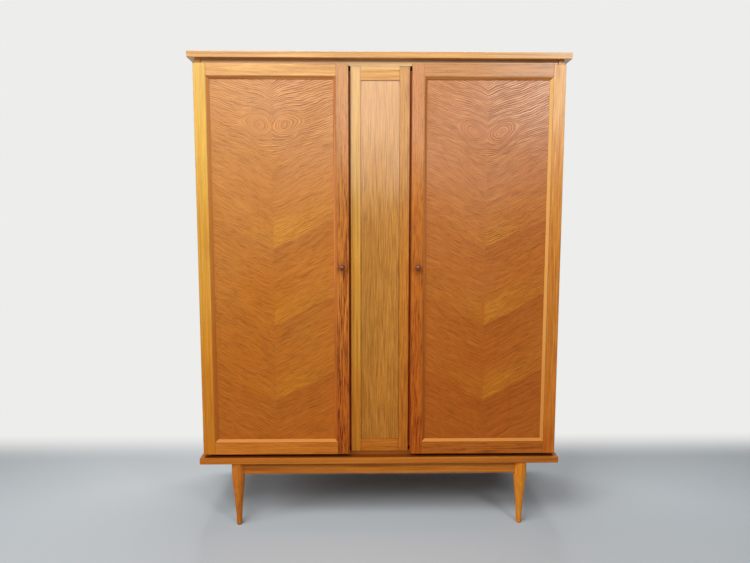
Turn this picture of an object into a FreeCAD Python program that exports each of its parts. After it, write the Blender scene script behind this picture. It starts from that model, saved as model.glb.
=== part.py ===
"""Two-door oak wardrobe on a low stand, made piece by piece as a joiner would make it.

The front faces -Y and +Z is up. The origin lies on the floor, in the middle of the object's box.
Every size is in millimetres.
"""
import FreeCAD, Part
import math
import os
from collections import namedtuple

Vector = FreeCAD.Vector

# Carcass
carcass_width = 1360.0
carcass_depth = 532.0
carcass_height = 1499.0
side_thickness = 22.0
carcass_top_thickness = 21.0
carcass_bottom_thickness = 16.0
partition_thickness = 18.0
back_thickness = 5.0
back_lap = 12.0
back_joint_gap = 0.5
lipping_gap = 3.0
lipping_depth = 10.0

# Top board and base board
top_thickness = 22.0
top_side_overhang = 20.0
base_thickness = 24.0
base_side_overhang = 15.0
front_overhang = 6.0

# Doors
door_thickness = 20.0
door_carcass_gap = 1.6
door_top_gap = 18.0
door_bottom_gap = 13.0
door_centre_gap = 7.0
stile_width = 45.0
top_rail_height = 45.0
bottom_rail_height = 47.0
panel_thickness = 6.0
panel_recess = 9.0
groove_depth = 9.0
panel_float = 1.0
bead_width = 11.0
bead_set_back = 0.8
bead_lip = 1.5
bead_foot = 1.2

# Fixed front between the doors
centre_width = 220.0
centre_thickness = 20.0
centre_stile_width = 38.0
centre_top_rail_height = 52.0
centre_bottom_rail_height = 49.0
centre_panel_recess = 3.0
centre_lip_thickness = 6.0
centre_lip_reach = 4.0
centre_lip_clearance = 1.0

# Knobs
knob_diameter = 22.5
knob_length = 22.0
knob_neck_diameter = 10.0
knob_base_diameter = 14.0
knob_neck_distance = 6.0
knob_head_distance = 13.0
knob_inset = 26.0
knob_height = 726.0
knob_screw_diameter = 4.0
knob_screw_reach = 12.0
knob_screw_head_diameter = 8.0
knob_screw_head_height = 2.5
knob_screw_head_ease = 0.8

# Butt hinges
hinge_count = 3
hinge_length = 70.0
hinge_end_inset = 150.0
hinge_leaf_reach = 18.0
hinge_leaf_thickness = 1.6
hinge_pin_out = 1.5
hinge_barrel_diameter = 7.0
hinge_pin_diameter = 3.5
hinge_pin_head_height = 1.5
knuckle_count = 5
hinge_screw_count = 3
hinge_screw_pitch = 24.0
hinge_screw_inset = 10.0
pin_clearance = 0.05
knuckle_gap = 0.3
barrel_clearance = 0.5

# Magnetic catches and their strike plates
catch_width = 34.0
catch_depth = 16.0
catch_height = 13.0
strike_width = 30.0
strike_height = 10.0
catch_air_gap = 0.5
catch_ease = 1.5

# Shelves
shelf_count = 4
shelf_thickness = 16.0
shelf_end_gap = 2.0
shelf_back_gap = 2.0
shelf_front_gap = 2.0
hat_shelf_drop = 200.0
shelf_pin_diameter = 6.0
shelf_pin_sunk = 8.0
shelf_pin_out = 12.0
shelf_pin_collar_diameter = 10.0
shelf_pin_collar_thickness = 1.5
shelf_pin_inset = 60.0
shelf_seat_gap = 0.05

# Hanging rail
rail_diameter = 25.0
rail_wall = 1.5
rail_drop = 55.0
rail_seat_clearance = 0.2
socket_plate_thickness = 3.0
socket_plate_width = 40.0
socket_plate_height = 76.0
socket_cup_depth = 12.0
socket_cup_wall = 4.0
socket_screw_inset = 8.0

# Stand
leg_height = 255.0
leg_diameter = 50.0
foot_diameter = 21.0
leg_collar_height = 50.0
collar_handle = 30.0
foot_handle = 71.0
leg_side_inset = 142.0
leg_front_inset = 28.0
leg_back_inset = 45.0
spigot_diameter = 22.0
spigot_length = 16.0
apron_thickness = 22.0
apron_height = 46.0
tenon_thickness = 10.0
tenon_height = 28.0
tenon_length = 14.0
glide_diameter = 17.0
glide_height = 4.0
glide_ease = 1.2
glide_spike_diameter = 3.0
glide_spike_length = 14.0

# Dowels, nails and screws
dowel_diameter = 8.0
dowel_in_shell = 10.0
dowel_in_end = 23.0
dowel_end_gap = 1.0
dowel_edge = 40.0
side_joint_dowel_count = 4
partition_dowel_count = 3
nail_diameter = 1.6
nail_length = 20.0
nail_head_diameter = 4.0
nail_head_thickness = 0.8
nail_end_inset = 120.0
edge_nail_count = 6
end_nail_count = 3
partition_nail_inset = 4.5
board_screw_edge = 60.0
board_screw_count = 4
board_screw_grip = 15.0
apron_screw_count = 3
apron_screw_end = 250.0
apron_counterbore_depth = 10.0
board_screw_diameter = 4.5
board_screw_head_diameter = 9.0
hinge_screw_diameter = 3.2
hinge_screw_head_diameter = 6.4
small_screw_diameter = 2.6
small_screw_head_diameter = 5.2
hinge_screw_length = 16.0
door_screw_length = 14.0
catch_screw_length = 9.0
strike_screw_length = 9.0
socket_screw_length = 14.0
screw_slot_width = 0.8
screw_slot_depth = 0.6

# Clearances and rounding
joint_clearance = 0.1
drill_clearance = 0.05
board_ease = 1.5
frame_ease = 1.0
panel_ease = 0.5

ScrewSize = namedtuple("ScrewSize", "shank_diameter head_diameter")
board_screw = ScrewSize(board_screw_diameter, board_screw_head_diameter)
hinge_screw = ScrewSize(hinge_screw_diameter, hinge_screw_head_diameter)
small_screw = ScrewSize(small_screw_diameter, small_screw_head_diameter)

# Heights that follow from the sizes
base_under_z = leg_height
base_top_z = base_under_z + base_thickness
floor_z = base_top_z + carcass_bottom_thickness
top_under_z = base_top_z + carcass_height
ceiling_z = top_under_z - carcass_top_thickness
top_z = top_under_z + top_thickness
door_bottom_z = base_top_z + door_bottom_gap
door_top_z = top_under_z - door_top_gap
apron_bottom_z = base_under_z - apron_height
knob_z = door_bottom_z + knob_height

# Depths that follow from the sizes
overall_depth = carcass_depth + door_carcass_gap + door_thickness + max(knob_length, front_overhang)
back_y = overall_depth / 2
panel_back_y = back_y - back_thickness
carcass_front_y = back_y - carcass_depth
door_back_y = carcass_front_y - door_carcass_gap
door_front_y = door_back_y - door_thickness
board_front_y = door_front_y - front_overhang
centre_back_y = carcass_front_y + centre_thickness
shelf_front_y = centre_back_y + shelf_front_gap
shelf_back_y = panel_back_y - shelf_back_gap
rail_y = (carcass_front_y + panel_back_y) / 2
hinge_pin_y = (carcass_front_y + door_back_y) / 2
leg_front_y = board_front_y + leg_front_inset
leg_back_y = back_y - leg_back_inset

# Distances from the middle plane
side_x = carcass_width / 2
inner_x = side_x - side_thickness
partition_x = partition_thickness / 2
door_inner_x = centre_width / 2 + door_centre_gap
knob_x = door_inner_x + knob_inset
catch_x = door_inner_x + stile_width / 2
hinge_pin_x = side_x + hinge_pin_out
base_x = side_x + base_side_overhang
leg_x = base_x - leg_side_inset

# Shelves and rail
shelf_pitch = (ceiling_z - floor_z + shelf_thickness) / (shelf_count + 1)
shelf_bottoms = [floor_z + shelf_pitch * (i + 1) - shelf_thickness for i in range(shelf_count)]
hat_shelf_bottom = ceiling_z - hat_shelf_drop - shelf_thickness
rail_z = hat_shelf_bottom - rail_drop

LEFT, RIGHT = -1, 1
SIDES = {"left": LEFT, "right": RIGHT}

# A fastener is kept with the hole that it fills
Fastener = namedtuple("Fastener", "solid hole")
Hinge = namedtuple("Hinge", "frame_leaf door_leaf pin frame_screws door_screws frame_cuts door_cuts")


def box(x0, x1, y0, y1, z0, z1):
    """A box between two corners, whose ends may come in any order."""
    corner = Vector(min(x0, x1), min(y0, y1), min(z0, z1))
    return Part.makeBox(abs(x1 - x0), abs(y1 - y0), abs(z1 - z0), corner)


def eased_box(x0, x1, y0, y1, z0, z1, ease):
    """A box with all its edges rubbed round."""
    solid = box(x0, x1, y0, y1, z0, z1)
    return solid.makeFillet(ease, solid.Edges).Solids[0]


def rod(diameter, start, direction, length):
    """A round bar from a start point along a direction."""
    return Part.makeCylinder(diameter / 2, length, Vector(*start), Vector(*direction))


def upright_rod(diameter, x, y, z0, z1):
    return rod(diameter, (x, y, z0), (0, 0, 1), z1 - z0)


def spaced(first, last, count):
    """Evenly spaced places from the first to the last."""
    step = (last - first) / (count - 1)
    return [first + step * i for i in range(count)]


def joined(solids):
    """One solid out of several that meet."""
    return solids[0].fuse(solids[1:]).removeSplitter().Solids[0]


def without(solid, cuts):
    """What is left of a solid when others are cut out of it."""
    return solid.cut(cuts).Solids[0]


def drilled(solid, fasteners):
    """The solid with the holes of its fasteners."""
    return without(solid, [fastener.hole for fastener in fasteners])


def turned(edges, place):
    """A solid of revolution from a half profile in the XZ plane, its axis moved to a place."""
    face = Part.Face(Part.Wire(edges))
    solid = face.revolve(Vector(0, 0, 0), Vector(0, 0, 1), 360)
    solid.Placement = place
    return solid


def cove(start, end, corner):
    """An arc between two points of a profile that leans towards a corner."""
    lean = 1 - 0.5 ** 0.5
    middle = corner + (start - corner) * lean + (end - corner) * lean
    return Part.Arc(start, middle, end).toShape()


def dome(rim, tip):
    """An arc of a profile from a rim to a tip, with its centre on the axis."""
    centre_z = (tip.z ** 2 - rim.z ** 2 - rim.x ** 2) / (2 * (tip.z - rim.z))
    radius = tip.z - centre_z
    half_angle = math.atan2(rim.x, rim.z - centre_z) / 2
    middle = Vector(radius * math.sin(half_angle), 0, centre_z + radius * math.cos(half_angle))
    return Part.Arc(rim, middle, tip).toShape()


def straight_edges(points):
    return [Part.makeLine(a, b) for a, b in zip(points, points[1:])]


def aimed(solid, point, direction):
    """Turns a solid made along +Z to a direction and moves its foot to a point."""
    turn = FreeCAD.Rotation(Vector(0, 0, 1), Vector(*direction))
    solid.Placement = FreeCAD.Placement(Vector(*point), turn)
    return solid


def countersunk(shank_diameter, head_diameter, length):
    """Screw form along +Z, with its head's face at the origin and a square countersink."""
    head_depth = (head_diameter - shank_diameter) / 2
    head = Part.makeCone(head_diameter / 2, shank_diameter / 2, head_depth)
    shank = Part.makeCylinder(shank_diameter / 2, length)
    return joined([head, shank])


def wood_screw(size, length, point, direction):
    """A slotted countersunk screw, flush at the point and driven along the direction."""
    slot = box(-size.head_diameter, size.head_diameter,
               -screw_slot_width / 2, screw_slot_width / 2, 0, screw_slot_depth)
    screw = without(countersunk(size.shank_diameter, size.head_diameter, length), [slot])
    play = 2 * drill_clearance
    hole = countersunk(size.shank_diameter + play, size.head_diameter + play, length + drill_clearance)
    return Fastener(aimed(screw, point, direction), aimed(hole, point, direction))


def nail(x, z):
    """A flat-headed nail driven into the back, flush with it."""
    head = rod(nail_head_diameter, (x, back_y, z), (0, -1, 0), nail_head_thickness)
    shank = rod(nail_diameter, (x, back_y, z), (0, -1, 0), nail_length)
    play = 2 * drill_clearance
    head_hole = rod(nail_head_diameter + play, (x, back_y, z), (0, -1, 0), nail_head_thickness)
    shank_hole = rod(nail_diameter + play, (x, back_y, z), (0, -1, 0), nail_length + drill_clearance)
    return Fastener(joined([head, shank]), joined([head_hole, shank_hole]))


def dowel(point, direction):
    """A dowel across a joint at the point: a short end in the shell, a long end along the direction."""
    towards = Vector(*direction)
    start = Vector(*point) - towards * dowel_in_shell
    length = dowel_in_shell + dowel_in_end
    solid = rod(dowel_diameter, start, direction, length)
    hole = rod(dowel_diameter + 2 * joint_clearance, start - towards * dowel_end_gap, direction,
               length + 2 * dowel_end_gap)
    return Fastener(solid, hole)


def shelf_pin(wall_x, inward, y, z):
    """A collared pin in the wall at wall_x, reaching inward under a shelf end."""
    foot = (wall_x - inward * shelf_pin_sunk, y, z)
    pin = rod(shelf_pin_diameter, foot, (inward, 0, 0), shelf_pin_sunk + shelf_pin_out)
    collar = rod(shelf_pin_collar_diameter, (wall_x, y, z), (inward, 0, 0), shelf_pin_collar_thickness)
    hole = rod(shelf_pin_diameter + 2 * drill_clearance, foot, (inward, 0, 0), shelf_pin_sunk)
    return Fastener(joined([pin, collar]), hole)


def side_joint_dowels(side):
    """Dowels between one side and the ends of the carcass top and bottom."""
    heights = (ceiling_z + carcass_top_thickness / 2, base_top_z + carcass_bottom_thickness / 2)
    depths = spaced(carcass_front_y + dowel_edge, panel_back_y - dowel_edge, side_joint_dowel_count)
    return [dowel((side * inner_x, y, z), (-side, 0, 0)) for z in heights for y in depths]


def end_joint_dowels(x, depths):
    """Dowels from the carcass top and bottom into the ends of an upright piece."""
    down = [dowel((x, y, ceiling_z), (0, 0, -1)) for y in depths]
    up = [dowel((x, y, floor_z), (0, 0, 1)) for y in depths]
    return down + up


def partition_dowels():
    return end_joint_dowels(0, spaced(centre_back_y + dowel_edge, panel_back_y - dowel_edge,
                                      partition_dowel_count))


def centre_stile_dowels(side):
    stile_middle = side * (centre_width - centre_stile_width) / 2
    return end_joint_dowels(stile_middle, [carcass_front_y + centre_thickness / 2])


def edge_nails(x):
    """Nails up one upright edge of the back."""
    heights = spaced(base_top_z + nail_end_inset, top_under_z - nail_end_inset, edge_nail_count)
    return [nail(x, z) for z in heights]


def end_nails(side, z):
    """Nails along the top or bottom end of one back panel."""
    places = spaced(nail_end_inset, inner_x - nail_end_inset, end_nail_count)
    return [nail(side * x, z) for x in places]


def board_screws(head_z, length, up):
    """Two rows of screws that hold the top or base board to the carcass."""
    across = spaced(board_screw_edge - inner_x, inner_x - board_screw_edge, board_screw_count)
    rows = (centre_back_y + board_screw_edge, panel_back_y - board_screw_edge)
    return [wood_screw(board_screw, length, (x, y, head_z), (0, 0, up)) for x in across for y in rows]


def apron_screws(y):
    """Screws up through a long apron, their heads sunk in counterbores."""
    head_z = apron_bottom_z + apron_counterbore_depth
    length = base_under_z - head_z + board_screw_grip
    across = spaced(apron_screw_end - leg_x, leg_x - apron_screw_end, apron_screw_count)
    screws = []
    for x in across:
        screw = wood_screw(board_screw, length, (x, y, head_z), (0, 0, 1))
        bore_diameter = board_screw.head_diameter + 2 * drill_clearance
        counterbore = upright_rod(bore_diameter, x, y, apron_bottom_z, head_z)
        screws.append(Fastener(screw.solid, joined([screw.hole, counterbore])))
    return screws


def shelf_pins(wall_x, inward, shelf_bottom):
    """The front and back pin under one end of a shelf."""
    z = shelf_bottom - shelf_pin_diameter / 2 - shelf_seat_gap
    depths = (shelf_front_y + shelf_pin_inset, shelf_back_y - shelf_pin_inset)
    return [shelf_pin(wall_x, inward, y, z) for y in depths]


def socket_screws(wall_x, inward):
    """Screws above and below the cup of a rail socket."""
    reach = socket_plate_height / 2 - socket_screw_inset
    head_x = wall_x + inward * socket_plate_thickness
    return [wood_screw(small_screw, socket_screw_length, (head_x, rail_y, rail_z + dz), (-inward, 0, 0))
            for dz in (-reach, reach)]


def catch_screw(side, seat_z, away):
    """A screw through one catch into the board that it sits on."""
    head = (side * catch_x, carcass_front_y + catch_depth / 2, seat_z - away * catch_height)
    return wood_screw(small_screw, catch_height + catch_screw_length, head, (0, 0, away))


def strike_screw(side, z):
    """A screw through one strike plate into the lock stile."""
    return wood_screw(small_screw, strike_screw_length,
                      (side * catch_x, carcass_front_y - catch_air_gap, z), (0, -1, 0))


def hinge(side, middle_z):
    """One butt hinge, folded shut in the gap between the carcass side and the door."""
    low_z = middle_z - hinge_length / 2
    high_z = middle_z + hinge_length / 2
    pin_x = side * hinge_pin_x
    inner_end = side * (side_x - hinge_leaf_reach)
    clear_reach = hinge_barrel_diameter / 2 + barrel_clearance
    clear_x = pin_x - side * clear_reach
    bore = upright_rod(hinge_pin_diameter + 2 * pin_clearance, pin_x, hinge_pin_y, low_z, high_z)
    knuckle_length = hinge_length / knuckle_count

    def leaf(first_knuckle, y0, y1):
        plate = box(pin_x, inner_end, y0, y1, low_z, high_z)
        knuckles = []
        reliefs = []
        for i in range(knuckle_count):
            z0 = low_z + i * knuckle_length
            z1 = z0 + knuckle_length
            if i % 2 == first_knuckle:
                knuckles.append(upright_rod(hinge_barrel_diameter, pin_x, hinge_pin_y,
                                            z0 + knuckle_gap / 2, z1 - knuckle_gap / 2))
            else:
                reliefs.append(box(pin_x, clear_x, y0, y1, z0 - knuckle_gap / 2, z1 + knuckle_gap / 2))
        return without(joined([without(plate, reliefs)] + knuckles), [bore])

    heights = spaced(middle_z - hinge_screw_pitch, middle_z + hinge_screw_pitch, hinge_screw_count)
    screw_x = side * (side_x - hinge_screw_inset)
    frame_screws = [wood_screw(hinge_screw, hinge_screw_length, (screw_x, carcass_front_y, z), (0, 1, 0))
                    for z in heights]
    door_screws = [wood_screw(hinge_screw, door_screw_length, (screw_x, door_back_y, z), (0, -1, 0))
                   for z in heights]
    frame_leaf = leaf(0, carcass_front_y, carcass_front_y + hinge_leaf_thickness)
    door_leaf = leaf(1, door_back_y - hinge_leaf_thickness, door_back_y)

    head_diameter = hinge_barrel_diameter - 2 * joint_clearance
    pin = joined([
        upright_rod(hinge_pin_diameter, pin_x, hinge_pin_y, low_z - hinge_pin_head_height,
                    high_z + hinge_pin_head_height),
        upright_rod(head_diameter, pin_x, hinge_pin_y, low_z - hinge_pin_head_height, low_z),
        upright_rod(head_diameter, pin_x, hinge_pin_y, high_z, high_z + hinge_pin_head_height)])

    notch_end = hinge_pin_head_height + barrel_clearance
    notch = upright_rod(2 * clear_reach, pin_x, hinge_pin_y, low_z - notch_end, high_z + notch_end)
    mortise_end = inner_end - side * joint_clearance

    def mortise(y0, y1):
        return box(pin_x, mortise_end, y0, y1, low_z - joint_clearance, high_z + joint_clearance)

    frame_mortise = mortise(carcass_front_y, carcass_front_y + hinge_leaf_thickness)
    door_mortise = mortise(door_back_y - hinge_leaf_thickness, door_back_y)
    return Hinge(drilled(frame_leaf, frame_screws), drilled(door_leaf, door_screws), pin,
                 frame_screws, door_screws, [notch, frame_mortise], [notch, door_mortise])


def door_hinges(side):
    """The hinges of one door, from the lowest to the highest."""
    heights = spaced(door_bottom_z + hinge_end_inset, door_top_z - hinge_end_inset, hinge_count)
    return [hinge(side, z) for z in heights]


def carcass_side(side, hinges, fasteners):
    """A side board, rebated for the back and mortised for the hinges."""
    board = eased_box(side * inner_x, side * side_x, carcass_front_y, back_y,
                      base_top_z, top_under_z, panel_ease)
    rebate = box(side * inner_x, side * (inner_x + back_lap), panel_back_y, back_y,
                 base_top_z, top_under_z)
    cuts = [rebate]
    for one in hinges:
        cuts += one.frame_cuts
    return drilled(without(board, cuts), fasteners)


def carcass_top(fasteners):
    """The board under the top board, whose front lipping stops just short of the sides."""
    board = box(-inner_x, inner_x, carcass_front_y, panel_back_y, ceiling_z, top_under_z)
    notches = [box(side * inner_x, side * (inner_x - lipping_gap), carcass_front_y,
                   carcass_front_y + lipping_depth, ceiling_z, top_under_z) for side in (LEFT, RIGHT)]
    return drilled(without(board, notches), fasteners)


def carcass_bottom(fasteners):
    board = box(-inner_x, inner_x, carcass_front_y, panel_back_y, base_top_z, floor_z)
    return drilled(board, fasteners)


def centre_partition(fasteners):
    board = box(-partition_x, partition_x, centre_back_y, panel_back_y, floor_z, ceiling_z)
    return drilled(board, fasteners)


def back_panel(side, fasteners):
    """One half of the back, from the side's rebate to the partition."""
    outer = side * (inner_x + back_lap - joint_clearance)
    sheet = box(outer, side * back_joint_gap / 2, panel_back_y, back_y, base_top_z, top_under_z)
    return drilled(sheet, fasteners)


def overhanging_board(half_width, z0, z1):
    return eased_box(-half_width, half_width, board_front_y, back_y, z0, z1, board_ease)


def leg_places():
    return {"front_left": (LEFT * leg_x, leg_front_y), "front_right": (RIGHT * leg_x, leg_front_y),
            "back_left": (LEFT * leg_x, leg_back_y), "back_right": (RIGHT * leg_x, leg_back_y)}


def spigot_hole(x, y):
    return upright_rod(spigot_diameter + 2 * joint_clearance, x, y, base_under_z,
                       base_under_z + spigot_length + joint_clearance)


def base_board(fasteners):
    """The board that carries the carcass, bored from below for the legs' spigots."""
    board = overhanging_board(base_x, base_under_z, base_top_z)
    holes = [spigot_hole(x, y) for x, y in leg_places().values()]
    return drilled(without(board, holes), fasteners)


def frame_members(x_outer, x_inner, widths, y_front, thickness, z0, z1, rails, recess):
    """Grooved stiles and rails around a panel, and the panel.

    x_outer and x_inner are the frame's two upright edges, widths the stile widths beside them,
    rails the heights of the bottom and top rail, and recess how far the panel lies behind the face.
    """
    inward = 1 if x_inner > x_outer else -1
    y_back = y_front + thickness
    panel_y0 = y_front + recess
    panel_y1 = panel_y0 + panel_thickness
    x0 = x_outer + inward * widths[0]
    x1 = x_inner - inward * widths[1]
    low = z0 + rails[0]
    high = z1 - rails[1]
    reach = groove_depth - panel_float
    panel = box(x0 - inward * reach, x1 + inward * reach, panel_y0, panel_y1, low - reach, high + reach)
    groove_y = (panel_y0 - joint_clearance, panel_y1 + joint_clearance)

    def stile(edge, opening, groove_end):
        post = eased_box(edge, opening, y_front, y_back, z0, z1, frame_ease)
        return without(post, [box(opening, groove_end, *groove_y, z0, z1)])

    def rail(bottom, top, groove_z, tenon_z):
        bar = eased_box(x0, x1, y_front, y_back, bottom, top, frame_ease)
        bar = without(bar, [box(x0, x1, *groove_y, *groove_z)])
        tenon_reach = groove_depth - joint_clearance
        tenon = box(x0 - inward * tenon_reach, x1 + inward * tenon_reach, panel_y0, panel_y1, *tenon_z)
        return joined([bar, tenon])

    return {
        "outer_stile": stile(x_outer, x0, x0 - inward * groove_depth),
        "inner_stile": stile(x_inner, x1, x1 + inward * groove_depth),
        "top_rail": rail(high, z1, (high, high + groove_depth), (high + groove_depth, z1 - frame_ease)),
        "bottom_rail": rail(z0, low, (low - groove_depth, low), (z0 + frame_ease, low - groove_depth)),
        "panel": panel}


def bead_strips(x0, x1, z0, z1):
    """Four mitred bevelled beads round an opening, lying on the panel against the frame."""
    panel_face = door_front_y + panel_recess
    front = door_front_y + bead_set_back
    section = [(0, front), (bead_lip, front), (bead_width, panel_face - bead_foot),
               (bead_width, panel_face), (0, panel_face)]
    corners = [(x0, z0, 1, 1), (x1, z0, -1, 1), (x1, z1, -1, -1), (x0, z1, 1, -1)]

    def mitre(x, z, right, up):
        points = [Vector(x + right * across, y, z + up * across) for across, y in section]
        return Part.makePolygon(points + points[:1])

    ends = [mitre(*corner) for corner in corners]
    return [Part.makeLoft([start, end], True, True) for start, end in zip(ends, ends[1:] + ends[:1])]


def knob(side, screw):
    """A turned knob with a coved neck and a domed face."""
    base = Vector(knob_base_diameter / 2, 0, 0)
    neck = Vector(knob_neck_diameter / 2, 0, knob_neck_distance)
    rim = Vector(knob_diameter / 2, 0, knob_head_distance)
    tip = Vector(0, 0, knob_length)
    centre = Vector(0, 0, 0)
    edges = [Part.makeLine(centre, base),
             cove(base, neck, Vector(neck.x, 0, 0)),
             cove(neck, rim, Vector(neck.x, 0, rim.z)),
             dome(rim, tip),
             Part.makeLine(tip, centre)]
    outward = FreeCAD.Rotation(Vector(0, 0, 1), Vector(0, -1, 0))
    place = FreeCAD.Placement(Vector(side * knob_x, door_front_y, knob_z), outward)
    return drilled(turned(edges, place), [screw])


def knob_screw(side):
    """The screw that holds a knob, its round head on the back of the lock stile."""
    seat = (side * knob_x, door_back_y, knob_z)
    length = door_thickness + knob_screw_reach
    shank = rod(knob_screw_diameter, seat, (0, -1, 0), length)
    head = rod(knob_screw_head_diameter, seat, (0, 1, 0), knob_screw_head_height)
    rim = head.Edges[0]
    head = head.makeFillet(knob_screw_head_ease, [rim])
    hole = rod(knob_screw_diameter + 2 * drill_clearance, seat, (0, -1, 0), length + drill_clearance)
    return Fastener(joined([head, shank]), hole)


def strike_plate(side, z, screw):
    """The steel plate on the door that a catch holds."""
    plate = box(side * catch_x - strike_width / 2, side * catch_x + strike_width / 2,
                door_back_y, carcass_front_y - catch_air_gap, z - strike_height / 2, z + strike_height / 2)
    return drilled(plate, [screw])


def strike_heights():
    return (floor_z + catch_height / 2, ceiling_z - catch_height / 2)


def door_catch(side, seat_z, away, screw):
    """A magnetic catch on the carcass top or bottom, its face level with the carcass front."""
    body = eased_box(side * catch_x - catch_width / 2, side * catch_x + catch_width / 2, carcass_front_y,
                     carcass_front_y + catch_depth, seat_z, seat_z - away * catch_height, catch_ease)
    return drilled(body, [screw])


def door(name, side, hinges):
    """All the pieces of one door, by node name."""
    members = frame_members(side * side_x, side * door_inner_x, (stile_width, stile_width), door_front_y,
                            door_thickness, door_bottom_z, door_top_z,
                            (bottom_rail_height, top_rail_height), panel_recess)
    x_edges = sorted((side * (side_x - stile_width), side * (door_inner_x + stile_width)))
    beads = bead_strips(*x_edges, door_bottom_z + bottom_rail_height, door_top_z - top_rail_height)
    hinge_cuts = []
    hinge_fasteners = []
    for one in hinges:
        hinge_cuts += one.door_cuts
        hinge_fasteners += one.door_screws
    strike_screws = [strike_screw(side, z) for z in strike_heights()]
    strikes = [strike_plate(side, z, screw) for z, screw in zip(strike_heights(), strike_screws)]
    handle_screw = knob_screw(side)
    hinge_stile = drilled(without(members["outer_stile"], hinge_cuts), hinge_fasteners)
    lock_stile = drilled(members["inner_stile"], strike_screws + [handle_screw])
    return {
        name + "_door_hinge_stile": [hinge_stile],
        name + "_door_lock_stile": [lock_stile],
        name + "_door_top_rail": [members["top_rail"]],
        name + "_door_bottom_rail": [members["bottom_rail"]],
        name + "_door_panel": [members["panel"]],
        name + "_door_beads": beads,
        name + "_knob": [knob(side, handle_screw)],
        name + "_knob_screw": [handle_screw.solid],
        name + "_door_hinge_leaves": [one.door_leaf for one in hinges],
        name + "_door_screws": [screw.solid for screw in hinge_fasteners + strike_screws],
        name + "_door_strike_plates": strikes}


def centre_lip(side):
    """The thin back edge of a centre stile, which runs behind a door's edge and closes the gap beside it.

    It stops short of the catches at both ends.
    """
    ends = catch_height + centre_lip_clearance
    return box(side * (centre_width / 2 - frame_ease), side * (door_inner_x + centre_lip_reach),
               centre_back_y - centre_lip_thickness, centre_back_y, floor_z + ends, ceiling_z - ends)


def centre_front(dowels):
    """The fixed frame and panel between the doors, by node name."""
    half = centre_width / 2
    members = frame_members(-half, half, (centre_stile_width, centre_stile_width), carcass_front_y,
                            centre_thickness, floor_z, ceiling_z,
                            (centre_bottom_rail_height, centre_top_rail_height), centre_panel_recess)
    return {
        "centre_left_stile": [drilled(joined([members["outer_stile"], centre_lip(LEFT)]), dowels)],
        "centre_right_stile": [drilled(joined([members["inner_stile"], centre_lip(RIGHT)]), dowels)],
        "centre_top_rail": [members["top_rail"]],
        "centre_bottom_rail": [members["bottom_rail"]],
        "centre_panel": [members["panel"]]}


def shelf(wall_a, wall_b, bottom):
    """A shelf between two walls, behind the fixed front."""
    return eased_box(wall_a + shelf_end_gap, wall_b - shelf_end_gap, shelf_front_y, shelf_back_y,
                     bottom, bottom + shelf_thickness, frame_ease)


def rail_socket(wall_x, inward, screws):
    """A cup open at the top, on a plate screwed to the wall, that the hanging rail drops into."""
    cup_diameter = rail_diameter + 2 * (rail_seat_clearance + socket_cup_wall)
    bore_diameter = rail_diameter + 2 * rail_seat_clearance
    face_x = wall_x + inward * socket_plate_thickness
    plate = box(wall_x, face_x, rail_y - socket_plate_width / 2, rail_y + socket_plate_width / 2,
                rail_z - socket_plate_height / 2, rail_z + socket_plate_height / 2)
    centre = (face_x, rail_y, rail_z)
    cup = rod(cup_diameter, centre, (inward, 0, 0), socket_cup_depth)
    bore = rod(bore_diameter, centre, (inward, 0, 0), socket_cup_depth)
    mouth = box(face_x, face_x + inward * socket_cup_depth, rail_y - bore_diameter / 2,
                rail_y + bore_diameter / 2, rail_z, rail_z + cup_diameter)
    return drilled(joined([plate, without(cup, [bore, mouth])]), screws)


def hanging_rail():
    """A round tube from plate to plate of the two sockets."""
    start = partition_x + socket_plate_thickness + rail_seat_clearance
    length = inner_x - socket_plate_thickness - rail_seat_clearance - start
    tube = rod(rail_diameter, (start, rail_y, rail_z), (1, 0, 0), length)
    return without(tube, [rod(rail_diameter - 2 * rail_wall, (start, rail_y, rail_z), (1, 0, 0), length)])


def leg(x, y, mortises, spike):
    """A turned leg: a straight collar for the aprons, then a taper to a slim foot."""
    foot_z = glide_height
    collar_z = base_under_z - leg_collar_height
    spigot_z = base_under_z + spigot_length
    foot = Vector(foot_diameter / 2, 0, foot_z)
    collar = Vector(leg_diameter / 2, 0, collar_z)
    taper = Part.BezierCurve()
    taper.setPoles([foot, foot + Vector(0, 0, foot_handle), collar - Vector(0, 0, collar_handle), collar])
    above = [collar, Vector(leg_diameter / 2, 0, base_under_z), Vector(spigot_diameter / 2, 0, base_under_z),
             Vector(spigot_diameter / 2, 0, spigot_z), Vector(0, 0, spigot_z), Vector(0, 0, foot_z), foot]
    edges = [taper.toShape()] + straight_edges(above)
    solid = turned(edges, FreeCAD.Placement(Vector(x, y, 0), FreeCAD.Rotation()))
    return without(solid, mortises + [spike])


def apron(x0, x1, y0, y1, tenon, collars):
    """A rail under the base board, hollowed at its ends to sit against the legs, with its tenon."""
    bar = without(box(x0, x1, y0, y1, apron_bottom_z, base_under_z), collars)
    return joined([bar, tenon])


def glide(x, y, play):
    """A glide with its spike, grown by some play to make the hole that takes the spike."""
    spike = upright_rod(glide_spike_diameter + 2 * play, x, y, glide_height / 2,
                        glide_height + glide_spike_length + play)
    disc = upright_rod(glide_diameter, x, y, 0, glide_height)
    disc = disc.makeFillet(glide_ease, disc.Edges)
    return Fastener(joined([disc, spike]), spike)


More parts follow.
